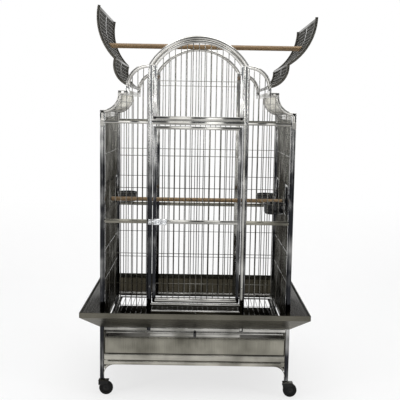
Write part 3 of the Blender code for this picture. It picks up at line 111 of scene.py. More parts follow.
# %% One helper that adds a node, and what is made with it
def node(tree, kind, settings=None, values=None, links=None):
    made = tree.nodes.new(kind)
    for key, value in (settings or {}).items():
        setattr(made, key, value)
    for key, value in (values or {}).items():
        made.inputs[key].default_value = value
    for key, source in (links or {}).items():
        tree.links.new(source, made.inputs[key])
    return made


def new_material(name):
    made = bpy.data.materials.new(name)
    made.use_nodes = True
    return made, made.node_tree, made.node_tree.nodes["Principled BSDF"]


def noise(tree, vector, **values):
    return node(tree, "ShaderNodeTexNoise", values=values, links={"Vector": vector}).outputs["Fac"]


def remap(tree, value, came, goes=(0.0, 1.0)):
    """A value between the two numbers in came, moved to between those in goes."""
    ranges = {"From Min": came[0], "From Max": came[1], "To Min": goes[0], "To Max": goes[1]}
    return node(tree, "ShaderNodeMapRange", values=ranges, links={"Value": value}).outputs["Result"]


def math_of(tree, operation, first, second, clamp=False):
    settings = {"operation": operation, "use_clamp": clamp}
    return node(tree, "ShaderNodeMath", settings, links={0: first, 1: second}).outputs["Value"]


def ramp(tree, value, *stops):
    """A colour ramp from pairs of a place and a hex colour."""
    made = node(tree, "ShaderNodeValToRGB", links={"Fac": value})
    while len(made.color_ramp.elements) < len(stops):
        made.color_ramp.elements.new(0.5)
    for element, (place, colour) in zip(made.color_ramp.elements, stops):
        element.position = place
        element.color = linear(colour)
    return made.outputs["Color"]


def coat(tree, shader, colour, height, strength, distance):
    """Wires a colour, and a bump made from a height, into the shader."""
    bump = node(tree, "ShaderNodeBump", values={"Strength": strength, "Distance": distance},
                links={"Height": height})
    tree.links.new(colour, shader.inputs["Base Color"])
    tree.links.new(bump.outputs["Normal"], shader.inputs["Normal"])


# %% [markdown]
# ## Stainless steel
# The tubes are drawn from 304 stainless steel, ground with a fine belt and then buffed. That leaves
# faint scratches along each tube, so reflections stretch across it. The scratches are under 0.1 mm,
# too fine for the picture, so they are drawn 3 mm wide and very faint. Object coordinates are
# stretched along one axis: the same recipe serves uprights, cross rails and side rails.
#
# Not every piece is buffed alike. Polished steel mirrors a ceiling above and a dim room low down, so a
# reflection is painted into the colour of most pieces: lighter above and darker below, strongest on the
# posts, which are near black at their feet. Bars are drawn wire, left duller. The bay rails, the stand
# and the tray have no painted reflection and are one even grey.
# The skirts are rolled sheet, with a painted shade that darkens every face that looks up, most of
# all in front and behind. The roof's thin wires and their frame are given the darkest tones.

# %% Ground and buffed stainless steel
GRAIN_WIDTH, GRAIN_LENGTH = 0.003, 0.25
SCRATCH, SCRATCH_DEPTH = 0.02, 0.0004
DIM_BELOW, BRIGHT_ABOVE = 1.15, 1.70
# Tint of the painted shade on steel faces that look up.
PAINTED_SHADE_TINT = "#5A564D"


def ground_steel(name, along, bright, dull, roughness, painted_reflection_lift=0.30, painted_shade_strength=0.0):
    """Steel with its grinding grain along X, Y or Z (0, 1 or 2), with a painted reflection lighter above and a
    painted shade on faces that look up.
    """
    made, tree, shader = new_material(name)
    scale = [1 / GRAIN_WIDTH] * 3
    scale[along] = 1 / GRAIN_LENGTH
    place = node(tree, "ShaderNodeTexCoord").outputs["Object"]
    stretch = node(tree, "ShaderNodeMapping", values={"Scale": scale}, links={"Vector": place})
    grain = noise(tree, stretch.outputs["Vector"], Scale=1.0, Detail=3.0, Roughness=0.6)
    cloud = noise(tree, place, Scale=7.0, Detail=2.0)
    # Painted reflection: the colour gets lighter with height, as if mirroring a bright ceiling and a dim room.
    height = node(tree, "ShaderNodeSeparateXYZ", links={"Vector": place}).outputs["Z"]
    painted_reflection = remap(tree, height, (DIM_BELOW, BRIGHT_ABOVE), (-painted_reflection_lift, painted_reflection_lift))
    mottle = node(tree, "ShaderNodeMath", {"operation": "MULTIPLY_ADD"}, {1: 0.5}, {0: grain, 2: cloud})
    shade = math_of(tree, "ADD", mottle.outputs["Value"], painted_reflection)
    colour = ramp(tree, remap(tree, shade, (0.40, 1.10)), (0.0, dull), (1.0, bright))
    # Painted shade: faces that look up are multiplied towards a dark tint.
    if painted_shade_strength:
        face = node(tree, "ShaderNodeNewGeometry")
        facing = node(tree, "ShaderNodeSeparateXYZ", links={"Vector": face.outputs["Normal"]})
        painted_shade_share = remap(tree, facing.outputs["Z"], (0.1, 0.5), (0.0, painted_shade_strength))
        painted_shade_mix = node(tree, "ShaderNodeMix", {"data_type": "RGBA", "blend_type": "MULTIPLY"},
                      {"B": linear(PAINTED_SHADE_TINT)}, {"Factor": painted_shade_share, "A": colour})
        colour = painted_shade_mix.outputs["Result"]
    coat(tree, shader, colour, grain, SCRATCH, SCRATCH_DEPTH)
    rough = remap(tree, grain, (0.35, 0.65), (roughness * 0.75, roughness * 1.3))
    tree.links.new(rough, shader.inputs["Roughness"])
    shader.inputs["Metallic"].default_value = 1.0
    return made


# Bright tube: uprights, rails across, and rails from front to back.
# Most steels below have a reflection painted into their colour, lighter above and darker below; the bay rails,
# stand, sheet, tray and pan have none.
STEEL_UP = ground_steel("buffed_stainless_upright", 2, "#F0EFEC", "#2A2B2E", 0.10, 0.34)
STEEL_X = ground_steel("buffed_stainless_across", 0, "#E8E6E1", "#66655F", 0.10, 0.14)
STEEL_Y = ground_steel("buffed_stainless_deep", 1, "#C4C2BA", "#45433D", 0.13)
# Drawn wire, and the duller rails that cross it in the bays.
BAR_STEEL = ground_steel("drawn_stainless_wire", 2, "#A09F99", "#302E28", 0.20)
RAIL_STEEL = ground_steel("dull_stainless_bay_rail", 0, "#9F9C90", "#4E4C45", 0.22, 0.0)
# The stand, ground to one even grey.
STAND_TONES = ("#CFCCC1", "#4C4A42", 0.16, 0.0)
STAND_STEEL = ground_steel("buffed_stainless_stand", 0, *STAND_TONES)
STAND_STEEL_Y = ground_steel("buffed_stainless_stand_deep", 1, *STAND_TONES)
# Rolled sheet with a painted shade on faces that look up, and the tray's face and pan.
SHEET_TONES = ("#716E64", "#504E46", 0.28, 0.0)
SHEET_STEEL = ground_steel("rolled_stainless_sheet", 0, *SHEET_TONES, 0.96)
SHEET_STEEL_Y = ground_steel("rolled_stainless_sheet_deep", 1, *SHEET_TONES, 0.8)
TRAY_STEEL = ground_steel("polished_stainless_tray", 2, "#A5A296", "#4D4B43", 0.16, 0.0)
# The pan's darker tones are painted shade inside the tray, under the grate; its higher roughness is a duller
# sheet.
PAN_SHADE_STEEL = ground_steel("dull_stainless_pan_painted_shade", 0, "#6A675F", "#3B3934", 0.36, 0.0)
# The roof halves: thin wires, and the frame round them.
WING_STEEL = ground_steel("drawn_stainless_roof_wire", 1, "#7B7A74", "#3E3D38", 0.34)
WING_EDGE_STEEL = ground_steel("buffed_stainless_roof_edge", 1, "#57554F", "#24231F", 0.24)
print("steel materials:", [m.name for m in bpy.data.materials if "stainless" in m.name])


# %% [markdown]
# ## Chromed zinc for the latch
# The barrel bolt and the small screws are die-cast zinc under chrome: mirror-bright, with no grain.

# %% Chrome, with the faint ripple of a casting under it
def chromed_zinc():
    made, tree, shader = new_material("chromed_zinc_casting")
    ripple = noise(tree, node(tree, "ShaderNodeTexCoord").outputs["Object"], Scale=90.0, Detail=1.0)
    tint = ramp(tree, ripple, (0.3, "#C9CBCD"), (0.7, "#E4E5E6"))
    coat(tree, shader, tint, ripple, 0.08, 0.0005)
    shader.inputs["Metallic"].default_value = 1.0
    shader.inputs["Roughness"].default_value = 0.09
    return made


CHROME = chromed_zinc()


# %% [markdown]
# ## Beech for the perches
# A perch is a plain turned beech dowel. Beech is tan, with a straight grain along the dowel
# and short darker flecks about 2 mm long. The grain is a noise stretched along X.

# %% Turned beech
def turned_beech():
    made, tree, shader = new_material("turned_beech_dowel")
    place = node(tree, "ShaderNodeTexCoord").outputs["Object"]
    stretch = node(tree, "ShaderNodeMapping", values={"Scale": (6.0, 260.0, 260.0)}, links={"Vector": place})
    grain = noise(tree, stretch.outputs["Vector"], Scale=1.0, Detail=5.0, Roughness=0.55, Distortion=0.4)
    short = node(tree, "ShaderNodeMapping", values={"Scale": (180.0, 900.0, 900.0)}, links={"Vector": place})
    fleck = noise(tree, short.outputs["Vector"], Scale=1.0, Detail=1.0)
    dark = node(tree, "ShaderNodeMath", {"operation": "GREATER_THAN"}, {1: 0.66}, {0: fleck})
    wood = ramp(tree, grain, (0.30, "#5F4A31"), (0.52, "#806746"), (0.72, "#9C8360"))
    flecked = node(tree, "ShaderNodeMix", {"data_type": "RGBA"}, {"B": linear("#5F482D")},
                   {"Factor": dark.outputs["Value"], "A": wood})
    coat(tree, shader, flecked.outputs["Result"], grain, 0.25, 0.0006)
    shader.inputs["Roughness"].default_value = 0.55
    return made


BEECH = turned_beech()


# %% [markdown]
# ## Moulded plastic and rubber
# The cups and the pull tab are gloss black ABS, which shows a sharp highlight with the slight
# orange-peel of a mould. The caster hoods are duller nylon, and the treads are rubber with road dust.
# Nylon and rubber are matt and mirror less than gloss plastic does, so their specular level is halved.

# %% Black plastics and rubber
def moulded(name, colour, worn, roughness, peel, grain_mm, specular=0.5):
    made, tree, shader = new_material(name)
    place = node(tree, "ShaderNodeTexCoord").outputs["Object"]
    skin = noise(tree, place, Scale=1000.0 / grain_mm, Detail=2.0)
    patch = noise(tree, place, Scale=35.0, Detail=3.0)
    coat(tree, shader, ramp(tree, patch, (0.35, colour), (0.75, worn)), skin, peel, 0.0004)
    rough = remap(tree, patch, (0.0, 1.0), (roughness * 0.8, roughness * 1.25))
    tree.links.new(rough, shader.inputs["Roughness"])
    shader.inputs["Specular IOR Level"].default_value = specular
    return made


CUP_PLASTIC = moulded("gloss_black_abs", "#060607", "#0D0D0E", 0.16, 0.05, 3.0)
HOOD_NYLON = moulded("moulded_black_nylon", "#0B0B0B", "#161616", 0.45, 0.20, 1.2, 0.25)
TREAD_RUBBER = moulded("black_tread_rubber", "#0A0A0A", "#181716", 0.75, 0.35, 0.9, 0.25)
print("materials so far:", len(bpy.data.materials))


# %% [markdown]
# ## Shapes that every wall is made of
# A cage is welded from four simple shapes: a square tube with rolled edges, a round bar,
# a tube bent along an arc, and a part turned on a lathe. Each helper adds one of them to a bmesh.
# Bevelling the cube's edges is what makes a tube look drawn and not cut from a block.

# %% Tube, bar, bent tube and turned shapes
def tube(bm, low, high, edge=EDGE, kind=0, segments=2):
    """A square tube or block between two corners, with rounded edges."""
    low, high = Vector(low), Vector(high)
    low, high = Vector(map(min, low, high)), Vector(map(max, low, high))
    size = high - low
    place = Matrix.Translation((low + high) / 2) @ Matrix.Diagonal((*size, 1.0))
    corners = bmesh.ops.create_cube(bm, size=1.0, matrix=place)["verts"]
    for face in {f for v in corners for f in v.link_faces}:
        face.material_index = kind
    edges = list({e for v in corners for e in v.link_edges})
    bmesh.ops.bevel(bm, geom=edges, offset=min(edge, min(size) * 0.3), segments=segments, affect="EDGES",
                    profile=0.5, material=-1)


def bar(bm, start, end, radius, sides=8, kind=0):
    """A round bar between two points."""
    start, end = Vector(start), Vector(end)
    along = end - start
    place = Matrix.Translation(start + along / 2) @ along.to_track_quat("Z", "Y").to_matrix().to_4x4()
    made = bmesh.ops.create_cone(bm, cap_ends=True, segments=sides, radius1=radius, radius2=radius,
                                 depth=along.length, matrix=place)["verts"]
    for face in {f for v in made for f in v.link_faces}:
        face.material_index = kind


def circle(radius, sides):
    """Points round a wire's section."""
    turns = [2 * math.pi * i / sides for i in range(sides)]
    return [(radius * math.cos(a), radius * math.sin(a)) for a in turns]


def swept(bm, outline, centre, axis, degrees, steps):
    """A closed outline carried round an axis, with its two ends filled."""
    verts = [bm.verts.new(point) for point in outline]
    edges = [bm.edges.new((verts[i - 1], verts[i])) for i in range(len(verts))]
    whole = abs(degrees) >= 360
    spun = bmesh.ops.spin(bm, geom=verts + edges, cent=centre, axis=axis, angle=math.radians(degrees),
                          steps=steps, use_merge=whole)
    if not whole:
        last = [g for g in spun["geom_last"] if isinstance(g, bmesh.types.BMEdge)]
        for loop in (edges, last):
            bmesh.ops.edgeloop_fill(bm, edges=loop)


def turned(bm, profile, centre, axis, steps=32, kind=0):
    """A profile of (radius, height) pairs turned about an axis, as on a lathe."""
    axis = Vector(axis).normalized()
    out = axis.orthogonal().normalized()
    before = len(bm.faces)
    verts = [bm.verts.new(Vector(centre) + out * radius + axis * height) for radius, height in profile]
    edges = [bm.edges.new(pair) for pair in zip(verts, verts[1:])]
    bmesh.ops.spin(bm, geom=verts + edges, cent=centre, axis=axis, angle=math.radians(360), steps=steps,
                   use_merge=True)
    bm.faces.ensure_lookup_table()
    for face in bm.faces[before:]:
        face.material_index = kind


def screw_head(bm, place, facing, radius, crown, height, kind=0):
    """A low domed head with no slot."""
    turned(bm, [(0.0, height), (crown, height - 0.0004), (radius, 0.0), (0.0, 0.0)], place, facing, 12, kind)


# %% [markdown]
# ## From bmesh to a finished piece
# Every piece becomes one object at the origin, with its place in its mesh, rides on a CAD body,
# and stands for the CAD nodes that it replaces. Welding doubled points first and then turning
# all faces outwards keeps the shading clean.

# %% Finish a piece, or a CAD node that stays
WELD = 0.000005
SHARP_FROM = math.radians(50)


def piece(name, bm, body, nodes, materials):
    bmesh.ops.remove_doubles(bm, verts=bm.verts, dist=WELD)
    bmesh.ops.recalc_face_normals(bm, faces=bm.faces)
    mesh = bpy.data.meshes.new(name)
    bm.to_mesh(mesh)
    bm.free()
    for material in materials:
        mesh.materials.append(material)
    mesh.shade_smooth()
    mesh.set_sharp_from_angle(angle=SHARP_FROM)
    made = bpy.data.objects.new(name, mesh)
    bpy.context.scene.collection.objects.link(made)
    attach(made, body)
    if nodes:
        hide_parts(*nodes)
    print(f"{name}: {len(mesh.polygons)} faces on {body}")


def refinish(name, material):
    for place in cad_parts[name].material_slots:
        place.material = material


# %% [markdown]
# ## Walls
# A wall knows how to turn (u, d, v) into a place in the room. The front and back walls run along X,
# the two sides along Y. Rails lie proud of the bars and the thin cross wires run behind them,
# which is how such panels are welded in a jig.

# %% A wall and what is drawn on it
UPRIGHT, ACROSS, ROUND_BAR, DULL_RAIL = range(4)
WALL_STEEL = [STEEL_UP, STEEL_X, BAR_STEEL, RAIL_STEEL]
SIDE_STEEL = [STEEL_UP, STEEL_Y, BAR_STEEL]


class Wall:
    def __init__(self, facing):
        self.facing = facing

    def at(self, u, d, v):
        if self.facing in ("front", "back"):
            side = -1 if self.facing == "front" else 1
            return Vector((u, side * (HALF_DEPTH - d), v))
        side = -1 if self.facing == "left" else 1
        return Vector((side * (HALF_WIDTH - d), u, v))

    def rail(self, bm, us, vs, ds=(0.0, PANEL), edge=EDGE, kind=ACROSS):
        tube(bm, self.at(us[0], ds[0], vs[0]), self.at(us[1], ds[1], vs[1]), edge, kind)

    def stile(self, bm, us, vs, ds=(0.0, PANEL), edge=EDGE):
        self.rail(bm, us, vs, ds, edge, UPRIGHT)

    def bars(self, bm, places, depth=BAR_D, radius=BAR_R):
        for u, low, high in places:
            bar(bm, self.at(u, depth, low), self.at(u, depth, high), radius, 8, ROUND_BAR)

    def wires(self, bm, reach, heights):
        for v in heights:
            bar(bm, self.at(reach[0], WIRE_D, v), self.at(reach[1], WIRE_D, v), WIRE_R, 6, ROUND_BAR)

    def arc(self, bm, centre, radii, degrees, ds=(0.0, PANEL), steps=24, edge=ROUND_EDGE):
        """A square tube bent round (u, v), between two radii."""
        inner, outer = radii
        near, far = ds
        start = math.radians(degrees[0])
        c = min(edge, (outer - inner) * 0.3)
        corners = [(inner + c, near), (outer - c, near), (outer, near + c), (outer, far - c),
                   (outer - c, far), (inner + c, far), (inner, far - c), (inner, near + c)]
        outline = [self.at(centre[0] + r * math.cos(start), d, centre[1] + r * math.sin(start))
                   for r, d in corners]
        along = self.at(1, 0, 0) - self.at(0, 0, 0)
        up = self.at(0, 0, 1) - self.at(0, 0, 0)
        before = len(bm.faces)
        swept(bm, outline, self.at(centre[0], near, centre[1]), along.cross(up), degrees[1] - degrees[0], steps)
        bm.faces.ensure_lookup_table()
        for face in bm.faces[before:]:
            face.material_index = ACROSS


def spaced(low, high, pitch=PITCH):
    """Even places between two edges, about a pitch apart."""
    gaps = max(2, round((high - low) / pitch))
    return [low + (high - low) * i / gaps for i in range(1, gaps)]


def over(centre_u, centre_v, radius, u):
    """Height of a circle's upper half above u."""
    return centre_v + math.sqrt(max(0.0, radius ** 2 - (u - centre_u) ** 2))


def main_arch(bm, wall, half, outer_r, band, ds):
    reach = math.degrees(math.asin(half / outer_r))
    wall.arc(bm, (0.0, ARCH_Z), (outer_r - band, outer_r), (90 - reach, 90 + reach), ds, 48)


FRONT, BACK, LEFT, RIGHT = Wall("front"), Wall("back"), Wall("left"), Wall("right")
print("bars per front bay:", len(spaced(CENTRE + GAP, POST_IN_X - GAP)))


# %% [markdown]
# ## The roof line beside the arch
# Next to the main arch the top of the wall steps down: a quarter round shoulder, a short level cap,
# a hollow quarter round called a scoop, and the top of the corner post. Front and back share this line.

# %% Draw the roof line of one bay
def roof_line_height(u):
    """Height of the middle of the roof line's band."""
    if u < CENTRE + SHOULDER_R - BAND:
        return over(CENTRE, SHOULDER_Z, SHOULDER_R - BAND / 2, u)
    if u < SCOOP_X - SCOOP_R:
        return (CAP_Z[0] + CAP_Z[1]) / 2
    return SCOOP_Z - math.sqrt(max(0.0, (SCOOP_R + SCOOP_BAND / 2) ** 2 - (SCOOP_X - u) ** 2))


def bay(bm, wall, s):
    """One bay beside the centre: foot rail, edge strips, roof line, rails, bars and wires."""
    inner, outer = s * (CENTRE + GAP), s * (POST_IN_X - GAP)
    strip_foot = FOOT_RAIL[1] - 0.002
    wall.rail(bm, (inner, outer), FOOT_RAIL)
    wall.stile(bm, (outer, outer - s * STRIP), (strip_foot, CORNER_Z - STRIP), edge=0.001)
    wall.stile(bm, (inner, inner + s * STRIP), (strip_foot, STRIP_TOP), edge=0.001)
    wall.stile(bm, (s * HALF_WIDTH, s * POST_IN_X), (SEAM_Z + GAP, CORNER_Z), (0.0, POST))
    wall.arc(bm, (inner, SHOULDER_Z), (SHOULDER_R - BAND, SHOULDER_R), (90, 0) if s > 0 else (90, 180))
    block = s * (CENTRE + SHOULDER_R + GAP)
    wall.stile(bm, (block - s * BAND, block), (CAP_Z[0], SHOULDER_Z + 0.002), edge=0.003)
    wall.rail(bm, (s * (SCOOP_X - SCOOP_R - 0.0005), block - s * 0.012), CAP_Z)
    wall.arc(bm, (s * SCOOP_X, SCOOP_Z), (SCOOP_R, SCOOP_R + SCOOP_BAND), (180, 270) if s > 0 else (0, -90))
    columns = spaced(*sorted((inner, outer)))
    wall.bars(bm, [(u, FOOT_RAIL[1] - SINK, roof_line_height(abs(u))) for u in columns])
    wall.wires(bm, (inner, outer), WIRE_ZS)
    for zs in (MID_RAIL, BAY_HEAD):
        wall.rail(bm, (inner, outer), zs, (0.0, RAIL), 0.002, DULL_RAIL)


# %% [markdown]
# ## The two front bays
# These carry the stepped roof line down to the corner posts. They are fixed to the body.
# A domed cap covers the end of each roof hinge, and one screw holds the middle rail to the post.

# %% Front bays
HINGE_CAP = [(0.0, 0.0024), (0.0030, 0.0022), (0.0046, 0.0012), (0.0050, 0.0), (0.0, 0.0)]
for side, word in SIDES:
    bm = bmesh.new()
    bay(bm, FRONT, side)
    turned(bm, HINGE_CAP, (side * (HINGE_X + GAP), -HALF_DEPTH, HINGE_Z), FORWARD, 16, ACROSS)
    screw_place = (side * (POST_IN_X - 0.003), -HALF_DEPTH, MID_RAIL[0] + 0.010)
    screw_head(bm, screw_place, FORWARD, 0.0032, 0.0024, 0.0016, ACROSS)
    piece(f"front_bay_tubes_{word}", bm, "cage", [f"front_bay_{word}"], WALL_STEEL)

# %% [markdown]
# ## Centre frame
# Two uprights run from the foot rail to the springing of the arch, with the arch bent over them.
# The header, two sills and the foot rail tie them. Between the foot rail and the lower sill are short bars.

# %% Centre frame
FRAME_SCREWS = ((-0.245, 1.52), (0.245, 1.50), (0.0, LOW_SILL[0] + 0.008), (-0.245, 0.60), (0.245, 0.60))
bm = bmesh.new()
for s in (-1, 1):
    FRONT.stile(bm, (s * CENTRE, s * CENTRE_IN), (FOOT_RAIL[0], UPRIGHT_TOP), (0.0, POST), 0.006)
main_arch(bm, FRONT, CENTRE, ARCH_R, BAND, (0.0, POST))
for zs in (HEADER, HIGH_SILL, LOW_SILL, FOOT_RAIL):
    FRONT.rail(bm, (-CENTRE_IN - 0.004, CENTRE_IN + 0.004), zs, (0.0002, POST))
columns = spaced(-CENTRE_IN, CENTRE_IN)
FRONT.bars(bm, [(u, FOOT_RAIL[1] - SINK, LOW_SILL[0] + SINK) for u in columns])
for u, v in FRAME_SCREWS:
    screw_head(bm, (u, -HALF_DEPTH, v), FORWARD, 0.0034, 0.0022, 0.0018, ACROSS)
piece("centre_frame_tubes", bm, "cage", ["front_centre_frame"], WALL_STEEL)

# %% [markdown]
# ## The grille in the arch
# A second, slimmer arch sits inside the first with its own stiles, bars and one cross wire.
# The thin dark line between the two arches is real: the grille is bolted in and can be taken out.

# %% Arch grille and its bolts
BOLT_HEAD = [(0.0, 0.0030), (0.0026, 0.0029), (0.0041, 0.0018), (0.0045, 0.0), (0.0020, 0.0),
             (0.0020, -0.0095), (0.0, -0.0095)]
bm = bmesh.new()
half = CENTRE_IN - GAP
inner = half - STILE
low = HEADER[1] + GAP
band_r = ARCH_R - BAND - GAP
stile_top = over(0.0, ARCH_Z, band_r, half) - 0.001
for s in (-1, 1):
    FRONT.stile(bm, (s * half, s * inner), (low, stile_top), edge=0.005)
FRONT.rail(bm, (-half, half), (low, low + 0.021))
main_arch(bm, FRONT, half, band_r, 0.018, (0.0, PANEL))
FRONT.bars(bm, [(u, low + 0.015, over(0.0, ARCH_Z, band_r - 0.009, u)) for u in spaced(-inner, inner)])
FRONT.wires(bm, (-inner - SINK, inner + SINK), [TOP_WIRE_Z])
piece("arch_grille_tubes", bm, "cage", ["arch_grille"], WALL_STEEL)
for side, word in SIDES:
    low_corner, high_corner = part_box(f"arch_bolt_{word}")
    middle = (low_corner + high_corner) / 2
    bm = bmesh.new()
    turned(bm, BOLT_HEAD, (middle.x, -HALF_DEPTH - GAP, middle.z), FORWARD, 20)
    piece(f"arch_bolt_head_{word}", bm, "cage", [f"arch_bolt_{word}"], [CHROME])

# %% [markdown]
# ## The door
# The door hangs on pins in its right-hand stile, so that edge stays put and the left one swings out.
# It has the same bars as the walls, and a mid rail that carries the latch.

# %% Door
DOOR_HALF, DOOR_Z = CENTRE_IN - 0.0025, (0.515, 1.451)
bm = bmesh.new()
inner = DOOR_HALF - STILE
for s in (-1, 1):
    FRONT.stile(bm, (s * DOOR_HALF, s * inner), DOOR_Z, (0.0, 0.020), 0.005)
reach = (-DOOR_HALF + 0.010, DOOR_HALF - 0.010)
for zs in ((DOOR_Z[0], DOOR_Z[0] + 0.022), (DOOR_Z[1] - 0.018, DOOR_Z[1])):
    FRONT.rail(bm, reach, zs, (0.0002, 0.0198), 0.003)
FRONT.rail(bm, (-inner - 0.005, inner + 0.005), MID_RAIL, (0.0004, RAIL), 0.003)
FRONT.bars(bm, [(u, DOOR_Z[0] + 0.015, DOOR_Z[1] - 0.012) for u in spaced(-inner, inner)])
FRONT.wires(bm, (-inner - SINK, inner + SINK), WIRE_ZS)
piece("door_tubes", bm, "door", ["front_door"], WALL_STEEL)

# %% [markdown]
# ## The door latch
# A barrel bolt: a block on the door with a sliding rod, worked by a small turned knob,
# and a keeper block on the post that the rod shoots into. It's shown drawn back.

# %% Latch, bolt and keeper
KNOB = [(0.0, 0.0170), (0.0035, 0.0168), (0.0056, 0.0152), (0.0060, 0.0130), (0.0054, 0.0110),
        (0.0030, 0.0098), (0.0022, 0.0085), (0.0022, 0.0), (0.0, 0.0)]
KEEPER_BORE = 0.0048
body_low, body_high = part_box("latch_body")
bm = bmesh.new()
tube(bm, body_low, (body_high.x, body_high.y, body_low.z + 0.0125), 0.002)
tube(bm, (body_low.x, body_low.y, body_high.z - 0.0125), body_high, 0.002)
tube(bm, (body_low.x, body_low.y + 0.004, body_low.z + 0.011),
     (body_high.x, body_high.y, body_high.z - 0.011), 0.001)
for x in (body_low.x + 0.007, body_high.x - 0.007):
    tube(bm, (x - 0.0045, body_low.y - 0.0004, body_low.z + 0.004),
         (x + 0.0045, body_high.y, body_high.z - 0.004), 0.0015)
    for z in (body_low.z + 0.0065, body_high.z - 0.0065):
        screw_head(bm, (x, body_low.y, z), FORWARD, 0.0032, 0.0024, 0.0014)
piece("latch_block", bm, "door", ["latch_body"], [CHROME])

bolt_low, bolt_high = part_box("latch_bolt")
bolt_y = body_low.y + 0.007
bolt_z = (bolt_low.z + bolt_high.z) / 2
bm = bmesh.new()
bar(bm, (bolt_low.x + 0.0006, bolt_y, bolt_z), (bolt_high.x, bolt_y, bolt_z), 0.0038, 20)
turned(bm, KNOB, (body_low.x + 0.028, bolt_y, bolt_z), FORWARD, 24)
piece("latch_rod_and_knob", bm, "latch_bolt", ["latch_bolt"], [CHROME])

keep_low, keep_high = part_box("latch_keeper")
bm = bmesh.new()
tube(bm, keep_low, (keep_high.x, keep_high.y, bolt_z - KEEPER_BORE), 0.0015)
tube(bm, (keep_low.x, keep_low.y, bolt_z + KEEPER_BORE), keep_high, 0.0015)
tube(bm, (keep_low.x, keep_high.y - 0.0025, keep_low.z), keep_high, 0.0008)
tube(bm, keep_low, (keep_high.x, keep_low.y + 0.0020, keep_high.z), 0.0008)
piece("latch_keeper_block", bm, "cage", ["latch_keeper"], [CHROME])

# %% [markdown]
# ## Back wall
# The back repeats the front's roof line with one welded panel: no door, one grille from side to side.

# %% Back wall
bm = bmesh.new()
for s in (-1, 1):
    bay(bm, BACK, s)
    BACK.stile(bm, (s * (CENTRE + 0.0045), s * CENTRE_IN), (FOOT_RAIL[0], UPRIGHT_TOP), edge=0.003)
main_arch(bm, BACK, CENTRE, ARCH_R, BAND, (0.0, PANEL))
BACK.rail(bm, (-CENTRE_IN - 0.004, CENTRE_IN + 0.004), FOOT_RAIL)
for zs in (MID_RAIL, BAY_HEAD):
    BACK.rail(bm, (-CENTRE - 0.002, CENTRE + 0.002), zs, (0.0002, RAIL), 0.002, DULL_RAIL)
BACK.bars(bm, [(u, FOOT_RAIL[1] - SINK, over(0.0, ARCH_Z, ARCH_R - BAND / 2, u)) for u in columns])
BACK.wires(bm, (-CENTRE, CENTRE), WIRE_ZS)
BACK.wires(bm, (-CENTRE_IN - SINK, CENTRE_IN + SINK), [TOP_WIRE_Z])
piece("back_wall_tubes", bm, "cage", ["back_panel"], WALL_STEEL)

# %% [markdown]
# ## Corner posts
# Square tubes stand on the casters. A sleeve joint shows as a fine dark line near the top,
# where the upper part of the cage lifts off the lower.

# %% Corner posts
for side, word in SIDES:
    for end, end_word in ENDS:
        bm = bmesh.new()
        tube(bm, (side * POST_IN_X, end * POST_IN_Y, FOOT_Z), (side * HALF_WIDTH, end * HALF_DEPTH, SEAM_Z),
             0.005, 0, 3)
        piece(f"corner_tube_{word}_{end_word}", bm, "cage", [f"corner_post_{word}_{end_word}"], [STEEL_UP])

# %% [markdown]
# ## Side walls and feeder doors
# Each feeder opening is a small frame welded between two rails that run the whole depth of the side.
# The bars stop above and below it. Its little door has the same bars and swings outwards on two pins.

# %% Side walls
FEEDERS = {"left_back": (-1, 0.262), "right_back": (1, 0.262), "right_front": (1, -0.205)}
FEED_HALF, FEED_Z = 0.065, (0.987, 1.125)
JAMB, FEED_RAIL, FEED_EDGE = 0.008, 0.012, 0.0018
SIDE_TOP = CORNER_Z - POST - GAP
SIDE_HEAD = SIDE_TOP - 0.016
SIDE_GAPS = 23
for side, word, wall in ((-1, "left", LEFT), (1, "right", RIGHT)):
    bm = bmesh.new()
    half = POST_IN_Y - GAP
    reach = (-half + 0.002, half - 0.002)
    wall.rail(bm, (-half, half), FOOT_RAIL)
    wall.rail(bm, (-half, half), (SIDE_HEAD, SIDE_TOP))
    for s in (-1, 1):
        wall.stile(bm, (s * half, s * (half - STRIP)), (FOOT_RAIL[1] - 0.002, SIDE_HEAD + 0.002), edge=0.001)
    places = [y for place_side, y in FEEDERS.values() if place_side == side]
    frame_z = (FEED_Z[0] - FEED_RAIL, FEED_Z[1] + FEED_RAIL)
    for y in places:
        for s in (-1, 1):
            wall.stile(bm, (y + s * FEED_HALF, y + s * (FEED_HALF + JAMB)), frame_z,
                       (0.0002, PANEL - 0.0002), FEED_EDGE)
    for zs in ((frame_z[0], FEED_Z[0]), (FEED_Z[1], frame_z[1])):
        wall.rail(bm, reach, zs, (0.0004, RAIL), FEED_EDGE)
        for y in places:
            wall.rail(bm, (y - FEED_HALF - 0.002, y + FEED_HALF + 0.002), zs,
                      (0.0004, PANEL - 0.0004), FEED_EDGE)
    low, high = FOOT_RAIL[1] - SINK, SIDE_HEAD + SINK
    for y in spaced(-half, half, 2 * half / SIDE_GAPS):
        if any(abs(place - y) < FEED_HALF + JAMB + BAR_R for place in places):
            wall.bars(bm, [(y, low, frame_z[0] + SINK), (y, frame_z[1] - SINK, high)])
        else:
            wall.bars(bm, [(y, low, high)])
    wall.wires(bm, reach, [v for v in WIRE_ZS if not frame_z[0] < v < frame_z[1]])
    piece(f"side_wall_tubes_{word}", bm, "cage", [f"side_panel_{word}"], SIDE_STEEL)

